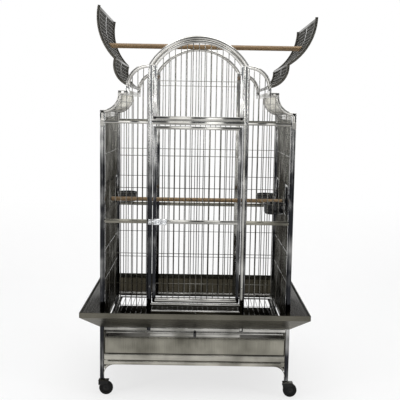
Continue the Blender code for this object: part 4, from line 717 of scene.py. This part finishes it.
# %% Feeder doors
DOOR_TUBE, DOOR_PLAY = 0.008, 0.0020
for word, (side, y) in FEEDERS.items():
    wall = LEFT if side < 0 else RIGHT
    bm = bmesh.new()
    half = FEED_HALF - DOOR_PLAY
    inner = half - DOOR_TUBE
    zs = (FEED_Z[0] + DOOR_PLAY, FEED_Z[1] - DOOR_PLAY)
    for s in (-1, 1):
        wall.stile(bm, (y + s * half, y + s * inner), zs, (0.0002, 0.0082), FEED_EDGE)
    for rail_z in ((zs[0], zs[0] + DOOR_TUBE), (zs[1] - DOOR_TUBE, zs[1])):
        wall.rail(bm, (y - half + 0.004, y + half - 0.004), rail_z, (0.0004, 0.0080), FEED_EDGE)
    columns = spaced(y - inner, y + inner, 0.026)
    wall.bars(bm, [(u, zs[0] + 0.004, zs[1] - 0.004) for u in columns], 0.0042, 0.0016)
    pin_u, pin_d = y + half - 0.0035, 0.0037
    bar(bm, wall.at(pin_u, pin_d, FEED_Z[0] - 0.0096), wall.at(pin_u, pin_d, FEED_Z[1] + 0.0096), 0.0016, 10)
    piece(f"feeder_door_tubes_{word}", bm, f"feeder_door_{word}", [f"feeder_door_{word}"], SIDE_STEEL)

# %% [markdown]
# ## Cups and their rings
# A cup is a deep gloss black pot with a rolled rim. It hangs by the rim in a wire ring.
# The ring is one bent rod with two arms that run down to a bracket on the feeder frame.
# The cup's profile is drawn on one side only and turned about its own axis.

# %% Cups and rings
CUP_R, RIM_R, RIM_Z, CUP_FOOT_Z = 0.0575, 0.0625, 1.036, 0.978
CUP_PROFILE = [(0.0, CUP_FOOT_Z + 0.0022), (0.0440, CUP_FOOT_Z + 0.0022), (0.0500, CUP_FOOT_Z + 0.0050),
               (0.0532, CUP_FOOT_Z + 0.0120), (0.0553, RIM_Z - 0.0030), (0.0558, RIM_Z - 0.0008),
               (CUP_R, RIM_Z), (0.0610, RIM_Z), (0.0624, RIM_Z - 0.0010), (RIM_R, RIM_Z - 0.0024),
               (0.0618, RIM_Z - 0.0038), (CUP_R, RIM_Z - 0.0040), (0.0555, CUP_FOOT_Z + 0.0120),
               (0.0540, CUP_FOOT_Z + 0.0060), (0.0500, CUP_FOOT_Z + 0.0018), (0.0460, CUP_FOOT_Z),
               (0.0400, CUP_FOOT_Z), (0.0390, CUP_FOOT_Z + 0.0008), (0.0, CUP_FOOT_Z + 0.0008)]
RING_WIRE, ARM_R = 0.0022, 0.0019
RING_R = CUP_R + GAP + RING_WIRE
ring_z = RIM_Z - 0.004 - GAP - RING_WIRE
for word, (side, y) in FEEDERS.items():
    x = side * (HALF_WIDTH - PANEL - 0.003 - RIM_R)
    bm = bmesh.new()
    turned(bm, CUP_PROFILE, (x, y, 0.0), (0, 0, 1), 48)
    piece(f"cup_pot_{word}", bm, f"cup_{word}", [f"cup_{word}"], [CUP_PLASTIC])
    bm = bmesh.new()
    outline = [(x + RING_R + out, y, ring_z + up) for out, up in circle(RING_WIRE, 10)]
    swept(bm, outline, (x, y, ring_z), (0, 0, 1), 360, 48)
    wall_x = side * (HALF_WIDTH - PANEL - GAP)
    arm_x = wall_x - side * 0.005
    for turn in (-1, 1):
        start = (x + side * math.sqrt(RING_R ** 2 - 0.032 ** 2), y + turn * 0.032, ring_z)
        knee = (arm_x, y + turn * 0.044, ring_z - 0.010)
        bar(bm, start, knee, ARM_R, 10)
        bar(bm, knee, (arm_x, y + turn * 0.044, 0.981), ARM_R, 10)
        bmesh.ops.create_icosphere(bm, subdivisions=2, radius=0.0020, matrix=Matrix.Translation(knee))
    face_x = wall_x - side * 0.007
    tube(bm, (wall_x, y - 0.050, 0.975), (face_x, y + 0.050, 0.986), 0.002)
    for turn in (-1, 1):
        screw_head(bm, (face_x, y + turn * 0.028, 0.9805), (-side, 0, 0), 0.0034, 0.0024, 0.0014)
    piece(f"cup_ring_rod_{word}", bm, "cage", [f"cup_ring_{word}"], [BAR_STEEL])

# %% [markdown]
# ## Fixed scoops of the roof
# From front to back, bent wires follow the hollow quarter round between the eave tube on top of
# the side wall and the cap rail. Three level wires tie them, so that no bird can spread them.

# %% Scoops
SCOOP_PITCH, SCOOP_WIRE = 0.0325, 0.0018
for side, word in SIDES:
    bm = bmesh.new()
    half = HALF_DEPTH - PANEL - GAP
    tube(bm, (side * POST_IN_X, -POST_IN_Y + GAP, CORNER_Z - POST),
         (side * HALF_WIDTH, POST_IN_Y - GAP, CORNER_Z), 0.003)
    tube(bm, (side * (SCOOP_X - SCOOP_R), -half, CAP_Z[0]),
         (side * (CENTRE + SHOULDER_R - BAND), half, CAP_Z[1]), 0.003)
    radius = SCOOP_R + SCOOP_BAND / 2
    centre = Vector((side * SCOOP_X, 0.0, SCOOP_Z))
    for y in spaced(-half, half, SCOOP_PITCH):
        middle = centre + Vector((0.0, y, 0.0))
        outline = [middle + Vector((-side * (radius + out), along, 0.0))
                   for out, along in circle(SCOOP_WIRE, 6)]
        swept(bm, outline, middle, (0, side, 0), -88, 12)
    for degrees in (22, 45, 68):
        a = math.radians(degrees)
        x = centre.x - side * radius * math.cos(a)
        z = SCOOP_Z - radius * math.sin(a) - 0.0028
        bar(bm, (x, -half, z), (x, half, z), WIRE_R, 6, 1)
    piece(f"roof_scoop_wires_{word}", bm, "cage", [f"roof_scoop_{word}"], [STEEL_Y, WING_STEEL])

# %% [markdown]
# ## Opening roof halves
# Each half is bent like the front's outline: a shoulder arc, then half of the main arch.
# It's drawn closed, which is simple, and then turned open about its hinge.
# The mesh is two layers of thin wire. Those round the curve are welded to the dark frame and are as
# dark as it is. Those from front to back lie under them, a little lighter. Near the tip they are
# parted in the middle, where the perch passes.

# %% Roof halves
OPEN_DEG = {"left": 76.0, "right": 88.6}
WING_IN, WING_BAND = 0.004, 0.014
WING_HALF = HALF_DEPTH - POST - 0.001
WING_WIRE_GAPS = 21
CURVE_WIRE, CROSS_WIRE, CROSS_PITCH = 0.0014, 0.0013, 0.020
PERCH_GAP, PERCH_GAP_ABOVE = 0.0168, 1.84
KNUCKLES = 9


def meeting(offset):
    """Where the shoulder and the arch cross, that far inside their outer faces."""
    a, b = SHOULDER_R - offset, ARCH_R - offset
    run, rise = -CENTRE, SHOULDER_Z - ARCH_Z
    span = math.hypot(run, rise)
    along = (b * b - a * a + span * span) / (2 * span)
    across = math.sqrt(b * b - along * along)
    return (along * run / span + across * rise / span, ARCH_Z + along * rise / span - across * run / span)


def wing_arcs(offset, tip=0.012, foot_z=HINGE_Z):
    """Centre, radius, start and end angle of the two arcs of the left half, closed."""
    u, v = meeting(offset)
    a, b = SHOULDER_R - offset, ARCH_R - offset
    foot = 180 - math.degrees(math.asin((foot_z - SHOULDER_Z) / a))
    meet = math.degrees(math.atan2(v - SHOULDER_Z, u + CENTRE))
    start = math.degrees(math.atan2(v - ARCH_Z, u))
    end = 90 + math.degrees(math.asin(tip / b))
    return [((-CENTRE, SHOULDER_Z), a, foot, meet), ((0.0, ARCH_Z), b, start, end)]


def bend(bm, arcs, y, section, steps):
    """A section of (out, along Y) points carried round each arc."""
    for centre, radius, start, stop in arcs:
        a = math.radians(start)
        outline = [(centre[0] + (radius + r) * math.cos(a), y + d, centre[1] + (radius + r) * math.sin(a))
                   for r, d in section]
        swept(bm, outline, (centre[0], y, centre[1]), (0, -1, 0), stop - start, steps)


wing_mid = WING_HALF - WING_BAND / 2
for side, word in SIDES:
    bm = bmesh.new()
    c = WING_BAND / 2
    e = c - EDGE
    square = [(-e, -c), (e, -c), (c, -e), (c, e), (e, c), (-e, c), (-c, e), (-c, -e)]
    for end in (-1, 1):
        bend(bm, wing_arcs(WING_IN + c), end * wing_mid, square, 20)
    tip_top = CROWN_Z - WING_IN - 0.0006
    tube(bm, (-0.012, -wing_mid, tip_top - 0.006), (-0.028, wing_mid, tip_top), 0.0015)
    u, v = meeting(WING_IN + 0.0055)
    tube(bm, (u - 0.005, -wing_mid, v - 0.005), (u + 0.005, wing_mid, v), 0.0015)
    span = WING_HALF - 0.014
    for step in range(1, 2 * WING_WIRE_GAPS):
        if step != WING_WIRE_GAPS:
            bend(bm, wing_arcs(WING_IN + 0.0040, 0.020, HINGE_Z + 0.004), -span + step * span / WING_WIRE_GAPS,
                 circle(CURVE_WIRE, 5), 9)
    for centre, radius, start, stop in wing_arcs(WING_IN + 0.0066, 0.026, HINGE_Z + 0.012):
        count = max(3, round(abs(math.radians(stop - start)) * radius / CROSS_PITCH))
        for i in range(count + 1):
            a = math.radians(start + (stop - start) * i / count)
            x, z = centre[0] + radius * math.cos(a), centre[1] + radius * math.sin(a)
            whole, parted = [(-wing_mid, wing_mid)], [(-wing_mid, -PERCH_GAP), (PERCH_GAP, wing_mid)]
            for low, high in parted if z > PERCH_GAP_ABOVE else whole:
                bar(bm, (x, low, z), (x, high, z), CROSS_WIRE, 5, 1)
    knuckle = WING_HALF - 0.001
    for i in range(KNUCKLES):
        y0 = -knuckle + 2 * knuckle * i / KNUCKLES
        y1 = -knuckle + 2 * knuckle * (i + 1) / KNUCKLES
        bar(bm, (-HINGE_X, y0 + GAP, HINGE_Z), (-HINGE_X, y1 - GAP, HINGE_Z), 0.0078 if i % 2 else 0.0070, 20)
    if side > 0:
        bmesh.ops.mirror(bm, geom=bm.verts[:] + bm.edges[:] + bm.faces[:], merge_dist=-1.0, axis="X")
        bmesh.ops.delete(bm, geom=[v for v in bm.verts if v.co.x < 0.0], context="VERTS")
    hinge = Vector((side * HINGE_X, 0.0, HINGE_Z))
    turn = Matrix.Rotation(math.radians(OPEN_DEG[word] * side), 3, "Y")
    bmesh.ops.rotate(bm, cent=hinge, matrix=turn, verts=bm.verts)
    piece(f"roof_wing_mesh_{word}", bm, f"roof_{word}", [f"roof_half_{word}"], [WING_EDGE_STEEL, WING_STEEL])

# %% [markdown]
# ## Perches
# The perch on the play top is a plain dowel that passes between two wires of each roof half.
# The one inside is held by a wing bolt at each end, clamped on the wall's bars through big washers.
# A dowel's end is turned to a small chamfer so that it doesn't splinter.

# %% Perches
low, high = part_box("top_perch")
r = (high.z - low.z) / 2
length = high.x - low.x
bm = bmesh.new()
turned(bm, [(0.0, 0.0), (r - 0.0030, 0.0), (r - 0.0008, 0.0010), (r, 0.0035), (r, length * 0.25),
            (r, length * 0.5), (r, length * 0.75), (r, length - 0.0035), (r - 0.0008, length - 0.0010),
            (r - 0.0030, length), (0.0, length)], (low.x, 0.0, (high.z + low.z) / 2), (1, 0, 0))
piece("top_perch_dowel", bm, "top_perch", ["top_perch"], [BEECH])

WASHER = [(0.0033, 0.0), (0.0140, 0.0), (0.0145, 0.0005), (0.0145, 0.0015), (0.0140, 0.0020),
          (0.0033, 0.0020), (0.0033, 0.0)]
low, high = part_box("inner_perch")
z = (high.z + low.z) / 2
end, r = high.x - 0.002, 0.0117
bm = bmesh.new()
turned(bm, [(0.003, -end), (r - 0.0015, -end), (r, -end + 0.0015), (r, -0.25), (r, 0.0), (r, 0.25),
            (r, end - 0.0015), (r - 0.0015, end), (0.003, end)], (0.0, 0.0, z), (1, 0, 0), 28)
for s in (-1, 1):
    turned(bm, WASHER, (s * end, 0.0, z), (s, 0, 0), 24, 1)
piece("inner_perch_dowel", bm, "cage", ["inner_perch"], [BEECH, BAR_STEEL])

# %% Wing bolts
WING_BOLT = [(0.0, -0.0300), (0.0029, -0.0300), (0.0029, 0.0), (0.0140, 0.0), (0.0145, 0.0004),
             (0.0145, 0.0016), (0.0138, 0.0020), (0.0062, 0.0020), (0.0058, 0.0030), (0.0052, 0.0100),
             (0.0040, 0.0112), (0.0, 0.0114)]
outer = HALF_WIDTH - BAR_D + BAR_R + GAP
for side, word in SIDES:
    bm = bmesh.new()
    turned(bm, WING_BOLT, (side * outer, 0.0, z), (side, 0, 0), 24)
    for s in (-1, 1):
        middle = Matrix.Translation((side * (outer + 0.0100), 0.0, z + s * 0.0072))
        bmesh.ops.create_uvsphere(bm, u_segments=16, v_segments=10, radius=1.0,
                                  matrix=middle @ Matrix.Diagonal((0.0048, 0.0013, 0.0053, 1.0)))
    piece(f"perch_wing_bolt_turned_{word}", bm, "cage", [f"perch_wing_bolt_{word}"], [CHROME])

# %% [markdown]
# ## Stand
# Two square tubes, one above the other with a slit between them, tie each pair of legs,
# and a bent gusset braces each corner. The lower tube is what the gussets are welded to.

# %% Stretchers and gussets
UPPER_TUBE, LOWER_TUBE = (0.195, 0.229), (0.168, 0.190)
GUSSET_R, GUSSET_T, GUSSET_Z = 0.055, 0.0035, 0.113


def stretcher(bm, wall, half):
    wall.rail(bm, (-half, half), UPPER_TUBE, (0.0, POST), 0.003)
    wall.rail(bm, (-half + 0.018, half - 0.018), LOWER_TUBE, (0.0006, POST - 0.0006), 0.003)
    for s in (-1, 1):
        wall.stile(bm, (s * half, s * (half - 0.021)), (LOWER_TUBE[0], 0.197), (0.0002, POST - 0.0002), 0.002)
        centre = s * (half - GUSSET_R)
        wall.arc(bm, (centre, GUSSET_Z), (GUSSET_R, GUSSET_R + GUSSET_T), (0, 90) if s > 0 else (180, 90),
                 (0.001, POST - 0.001), 16, 0.0009)
        for step in range(6):
            a = math.radians(15 * step + 7.5)
            u = centre + s * (GUSSET_R + 0.0015) * math.cos(a)
            v = GUSSET_Z + (GUSSET_R + 0.0015) * math.sin(a)
            if u * s < half - 0.004 and v < 0.166:
                wall.stile(bm, (u, s * (half - 0.0004)), (v, 0.170), (0.0035, 0.0075), 0.0008)


for word, wall, half, level in (("front", FRONT, POST_IN_X, STAND_STEEL),
                                ("back", BACK, POST_IN_X, STAND_STEEL),
                                ("left", LEFT, POST_IN_Y, STAND_STEEL_Y),
                                ("right", RIGHT, POST_IN_Y, STAND_STEEL_Y)):
    bm = bmesh.new()
    stretcher(bm, wall, half - GAP)
    piece(f"stretcher_tubes_{word}", bm, "cage", [f"stand_stretcher_{word}"], [level, level])

# %% [markdown]
# ## Seed skirts
# Four flared sheets catch what the birds throw. The CAD sheets have the right shape already,
# so they keep it and only take a finish. Their upper edges get a rolled hem, which is safe to touch.

# %% Skirts, with rolled hems
REACH, HEM_Z, HEM_R = 0.094, 0.4775, 0.0018
for word, wall, half, sheet in (("front", FRONT, HALF_WIDTH, SHEET_STEEL),
                                ("back", BACK, HALF_WIDTH, SHEET_STEEL),
                                ("left", LEFT, HALF_DEPTH, SHEET_STEEL_Y),
                                ("right", RIGHT, HALF_DEPTH, SHEET_STEEL_Y)):
    refinish(f"seed_skirt_{word}", sheet)
    bm = bmesh.new()
    end, out = half + REACH - 0.0030, -(REACH - 0.0006)
    bar(bm, wall.at(-end, out, HEM_Z), wall.at(end, out, HEM_Z), HEM_R, 10)
    piece(f"skirt_hem_{word}", bm, "cage", [], [sheet])

# %% [markdown]
# ## Tray, grate and runners
# The tray is a folded sheet pan behind a flat face with a turned-over top edge.
# Above it a grate of thin wires keeps the birds off the litter. Both slide out to the front
# on folded runners. A black tab at the front is what the grate is pulled by.

# %% Tray
SHEET_T, PAN_DEPTH, FACE_FOOT = 0.0015, 0.058, 0.2345
LIP_R, HEM_WIRE = 0.0022, 0.0010
low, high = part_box("waste_tray")
wall_top = low.z + PAN_DEPTH
back_y = low.y + 0.002
bm = bmesh.new()
tube(bm, (low.x, back_y, low.z), (high.x, high.y, low.z + SHEET_T), 0.0004, 1)
for x in (low.x, high.x - SHEET_T):
    tube(bm, (x, back_y, low.z), (x + SHEET_T, high.y, wall_top), 0.0004, 1)
tube(bm, (low.x, high.y - SHEET_T, low.z), (high.x, high.y, wall_top), 0.0004, 1)
tube(bm, (low.x + 0.0003, low.y, FACE_FOOT), (high.x - 0.0003, low.y + 0.003, high.z), 0.0012)
lip_y, lip_z = low.y + 0.0024, high.z - LIP_R
bar(bm, (low.x + 0.002, lip_y, lip_z), (high.x - 0.002, lip_y, lip_z), LIP_R, 12)
for x in (low.x + HEM_WIRE, high.x - HEM_WIRE):
    bar(bm, (x, low.y + 0.004, wall_top - 0.0012), (x, high.y - 0.001, wall_top - 0.0012), HEM_WIRE, 8)
piece("tray_pan", bm, "tray", ["waste_tray"], [TRAY_STEEL, PAN_SHADE_STEEL])
for word in ("left", "right"):
    refinish(f"tray_runner_{word}", SHEET_STEEL_Y)

# %% Grate and pull tab
GRATE_TUBE, GRATE_RAIL, GRATE_GAPS = 0.010, 0.008, 31
low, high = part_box("floor_grate")
bm = bmesh.new()
rail_foot, mid_z = high.z - GRATE_RAIL, high.z - GRATE_RAIL / 2
for x0, x1 in ((low.x, low.x + GRATE_TUBE), (high.x - GRATE_TUBE, high.x)):
    tube(bm, (x0, low.y, rail_foot), (x1, high.y, high.z))
for y0, y1 in ((low.y, low.y + GRATE_TUBE), (high.y - GRATE_TUBE, high.y)):
    tube(bm, (low.x + 0.002, y0, rail_foot), (high.x - 0.002, y1, high.z), EDGE, ACROSS)
inner = high.x - GRATE_TUBE
for i in range(1, GRATE_GAPS):
    x = -inner + 2 * inner * i / GRATE_GAPS
    bar(bm, (x, low.y + 0.005, mid_z), (x, high.y - 0.005, mid_z), 0.0016, 8, ROUND_BAR)
tie_z = mid_z - 0.0026
for y in (-0.190, 0.0, 0.190):
    bar(bm, (-inner - 0.004, y, tie_z), (inner + 0.004, y, tie_z), 0.0010, 6, ROUND_BAR)
tube(bm, (-0.241, low.y, low.z), (0.241, low.y + 0.002, rail_foot + 0.002), 0.0006, ACROSS)
piece("grate_wires", bm, "grate", ["floor_grate"], [STEEL_Y, STEEL_X, BAR_STEEL])

TAB_EYE = [(0.0, 0.0025), (0.0064, 0.0025), (0.0074, 0.0020), (0.0078, 0.0010), (0.0078, 0.0), (0.0, 0.0)]
low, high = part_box("grate_pull_tab")
bm = bmesh.new()
tube(bm, low, (high.x, high.y, high.z - 0.006), 0.0011, 0, 3)
turned(bm, TAB_EYE, (0.0, high.y, high.z - 0.0078), FORWARD, 28)
piece("grate_pull_tab_moulded", bm, "grate", ["grate_pull_tab"], [CUP_PLASTIC])

# %% [markdown]
# ## Casters
# Each caster has a moulded hood, a rubber tyre on a nylon hub, and a steel axle with a nut.
# The wheel is turned from one profile, with a crowned tread. The hood is two cheeks and a crown.
# The hood turns on the leg and the wheel turns in the hood, so they are two pieces on two bodies.

# %% Casters
WHEEL_R, TRAIL = 0.0375, 0.022
CASTER_X, CASTER_Y = 0.497, 0.370
TYRE = [(0.0255, 0.0102), (0.0300, 0.0112), (0.0340, 0.0108), (0.0362, 0.0088), (0.0373, 0.0050),
        (WHEEL_R, 0.0), (0.0373, -0.0050), (0.0362, -0.0088), (0.0340, -0.0108), (0.0300, -0.0112),
        (0.0255, -0.0102), (0.0255, 0.0102)]
HUB = [(0.0043, 0.0130), (0.0100, 0.0130), (0.0115, 0.0120), (0.0125, 0.0085), (0.0215, 0.0070),
       (0.0240, 0.0100), (0.0262, 0.0100), (0.0262, -0.0100), (0.0240, -0.0100), (0.0215, -0.0070),
       (0.0125, -0.0085), (0.0115, -0.0120), (0.0100, -0.0130), (0.0043, -0.0130), (0.0043, 0.0130)]
BOSS = [(0.0, 0.0), (0.0100, 0.0), (0.0100, 0.0026), (0.0090, 0.0034), (0.0, 0.0034)]
NUT = [(0.0, 0.0), (0.0040, 0.0), (0.0040, 0.0050), (0.0030, 0.0058), (0.0, 0.0060)]
SWIVEL = [(0.0, 0.0), (0.0160, 0.0), (0.0160, 0.0034), (0.0150, 0.0042), (0.0, 0.0042)]
for side, word in SIDES:
    for end, end_word in ENDS:
        key = f"{word}_{end_word}"
        px, py = side * CASTER_X, end * CASTER_Y
        axle_x = px + TRAIL
        bm = bmesh.new()
        turned(bm, TYRE, (axle_x, py, WHEEL_R), (0, 1, 0), 48, 0)
        turned(bm, HUB, (axle_x, py, WHEEL_R), (0, 1, 0), 36, 1)
        piece(f"caster_tyre_{key}", bm, f"caster_wheel_{key}", [f"caster_wheel_{key}"],
              [TREAD_RUBBER, HOOD_NYLON])
        bm = bmesh.new()
        for cheek in (-1, 1):
            y0, y1 = py + cheek * 0.0140, py + cheek * 0.0170
            tube(bm, (px - 0.018, y0, 0.0560), (px + 0.034, y1, 0.0790), 0.0014, 0, 3)
            tube(bm, (px + 0.0105, y0, 0.0300), (px + 0.0335, y1, 0.0600), 0.0014, 0, 3)
            turned(bm, BOSS, (axle_x, y0, WHEEL_R), (0, cheek, 0), 24)
            turned(bm, NUT, (axle_x, y0, WHEEL_R), (0, cheek, 0), 6, 1)
        tube(bm, (px - 0.019, py - 0.0174, 0.0767), (px + 0.037, py + 0.0174, 0.0827), 0.0024, 0, 3)
        turned(bm, SWIVEL, (px, py, 0.0825), (0, 0, 1), 28, 1)
        bar(bm, (axle_x, py - 0.0150, WHEEL_R), (axle_x, py + 0.0150, WHEEL_R), 0.0040, 16, 1)
        piece(f"caster_hood_{key}", bm, f"caster_fork_{key}", [f"caster_fork_{key}"], [HOOD_NYLON, BAR_STEEL])

# %% [markdown]
# ## CAD nodes that stay as they are
# Pins and rods are simple round bars, mostly hidden in their bores. They only need the steel finish.

# %% Finish the carried-over nodes
kept = [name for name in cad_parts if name.startswith(("door_pivot_pin", "roof_hinge_rod"))]
for name in kept:
    refinish(name, BAR_STEEL)
print("finished as they are:", kept)

# %% [markdown]
# ## Camera
# The camera stands about 3.8 m in front of the cage at eye height, looking slightly down.
# Its place, tilt and lens were solved from known corners of the cage in the photograph.

# %% Camera
FOCAL_PX, PHOTO_PX, SENSOR_MM = 731.03, 400, 36.0
YAW, PITCH_DOWN, ROLL = -0.00546, 0.12010, 0.016722
CAMERA_X, CAMERA_AWAY, EYE_Z = -0.00468, 3.79914, 1.52636
lens = bpy.data.cameras.new("photo_camera")
lens.sensor_width = SENSOR_MM
lens.lens = FOCAL_PX * SENSOR_MM / PHOTO_PX
camera = bpy.data.objects.new("photo_camera", lens)
tilt = Matrix.Rotation(math.pi / 2 - PITCH_DOWN, 4, "X")
spin = Matrix.Rotation(YAW, 4, "Z") @ tilt @ Matrix.Rotation(ROLL, 4, "Z")
camera.matrix_world = Matrix.Translation((CAMERA_X, -CAMERA_AWAY - HALF_DEPTH, EYE_Z)) @ spin
bpy.context.scene.collection.objects.link(camera)
bpy.context.scene.camera = camera
print("lens", round(lens.lens, 2), "mm")

# %% [markdown]
# ## Studio
# The floor curves up into a wall behind, as a paper sweep does, so no horizon shows. The paper gives
# camera, mirror and glass rays a plain white. On the floor that white is mixed with real paper,
# which takes the cage's shadow. From 0.6 m up the white is pure.

# %% Floor and backdrop
SWEEP_HALF, SWEEP_START, SWEEP_R, WALL_TOP = 30.0, 2.0, 1.6, 14.0
FLOOR_WHITE, WHITE_FROM = 0.72, 0.6


def sweep_profile():
    """From the front of the floor to the top of the wall, as (y, z)."""
    points = [(-SWEEP_HALF, 0.0), (SWEEP_START, 0.0)]
    for i in range(1, 13):
        a = math.radians(90 * i / 12)
        points.append((SWEEP_START + SWEEP_R * math.sin(a), SWEEP_R - SWEEP_R * math.cos(a)))
    return points + [(SWEEP_START + SWEEP_R, WALL_TOP)]


bm = bmesh.new()
row = [bm.verts.new((-SWEEP_HALF, y, z)) for y, z in sweep_profile()]
edges = [bm.edges.new(pair) for pair in zip(row, row[1:])]
grown = bmesh.ops.extrude_edge_only(bm, edges=edges)["geom"]
far_side = [g for g in grown if isinstance(g, bmesh.types.BMVert)]
bmesh.ops.translate(bm, vec=(2 * SWEEP_HALF, 0.0, 0.0), verts=far_side)
bmesh.ops.recalc_face_normals(bm, faces=bm.faces)
mesh = bpy.data.meshes.new("paper_sweep")
bm.to_mesh(mesh)
bm.free()
mesh.shade_smooth()
sweep = bpy.data.objects.new("paper_sweep", mesh)
bpy.context.scene.collection.objects.link(sweep)

paper, tree, shader = new_material("white_paper_sweep")
shader.inputs["Base Color"].default_value = linear("#F2F2F2")
shader.inputs["Roughness"].default_value = 0.9
place = node(tree, "ShaderNodeNewGeometry")
height = node(tree, "ShaderNodeSeparateXYZ", links={"Vector": place.outputs["Position"]})
purity = remap(tree, height.outputs["Z"], (0.0, WHITE_FROM), (FLOOR_WHITE, 1.0))
rays = node(tree, "ShaderNodeLightPath")
seen = math_of(tree, "ADD", rays.outputs["Is Camera Ray"], rays.outputs["Is Glossy Ray"])
seen = math_of(tree, "ADD", seen, rays.outputs["Is Transmission Ray"], True)
share = math_of(tree, "MULTIPLY", seen, purity)
white = node(tree, "ShaderNodeEmission", values={"Color": (1.0, 1.0, 1.0, 1.0), "Strength": 1.0})
mix = node(tree, "ShaderNodeMixShader", links={0: share, 1: shader.outputs["BSDF"],
                                               2: white.outputs["Emission"]})
tree.links.new(mix.outputs["Shader"], tree.nodes["Material Output"].inputs["Surface"])
mesh.materials.append(paper)
print("sweep laid")

# %% [markdown]
# ## Light
# Big soft boxes give broad highlights. Two tall narrow strips draw the bright upright lines on the
# rounded edges of the posts. Two cards far in front of the cage show as soft patches in the flat faces
# of the tray, the stand and the rails, and a long box behind lights the paper.
#
# Polished steel shows what stands around it. The world is a room, light overhead and dim low down.
# Its reflection, together with the reflection painted into the steel's colour, gives the posts their light
# tops and dark feet.

# %% Lamps and world
def softbox(name, place, target, size, power):
    data = bpy.data.lights.new(name, "AREA")
    data.shape = "RECTANGLE"
    data.size, data.size_y = size
    data.energy = power
    made = bpy.data.objects.new(name, data)
    made.location = place
    made.rotation_euler = (Vector(target) - Vector(place)).to_track_quat("-Z", "Y").to_euler()
    bpy.context.scene.collection.objects.link(made)


softbox("overhead_box", (0.0, -0.6, 4.6), (0.0, 0.0, 0.8), (4.0, 3.0), 115)
softbox("front_card_left", (-1.25, -7.0, 2.1), (0.0, 0.0, 1.4), (1.5, 2.6), 26)
softbox("front_card_right", (1.15, -7.0, 1.9), (0.0, 0.0, 1.4), (1.1, 2.2), 15)
softbox("left_strip", (-3.4, -2.6, 1.9), (0.0, 0.0, 1.1), (0.35, 3.2), 40)
softbox("right_strip", (3.6, -2.2, 1.9), (0.0, 0.0, 1.1), (0.35, 3.2), 34)
softbox("back_box", (0.0, 2.6, 3.6), (0.0, 3.6, 0.8), (5.0, 1.0), 20)

world = bpy.data.worlds.new("studio_room")
world.use_nodes = True
bpy.context.scene.world = world
tree = world.node_tree
direction = node(tree, "ShaderNodeTexCoord").outputs["Generated"]
height = node(tree, "ShaderNodeSeparateXYZ", links={"Vector": direction}).outputs["Z"]
room = ramp(tree, remap(tree, height, (-1.0, 1.0)), (0.0, "#33322F"), (0.51, "#3E4044"), (0.64, "#8E9194"),
            (1.0, "#E0E0E0"))
background = tree.nodes["Background"]
tree.links.new(room, background.inputs["Color"])
background.inputs["Strength"].default_value = 0.8
# Past the paper's edges the camera sees plain white, while the steel still mirrors the dim room.
sky = node(tree, "ShaderNodeBackground", values={"Color": (1.0, 1.0, 1.0, 1.0), "Strength": 1.0})
rays = node(tree, "ShaderNodeLightPath")
mix = node(tree, "ShaderNodeMixShader", links={0: rays.outputs["Is Camera Ray"],
                                               1: background.outputs["Background"],
                                               2: sky.outputs["Background"]})
tree.links.new(mix.outputs["Shader"], tree.nodes["World Output"].inputs["Surface"])
bpy.context.scene.view_settings.view_transform = "Standard"
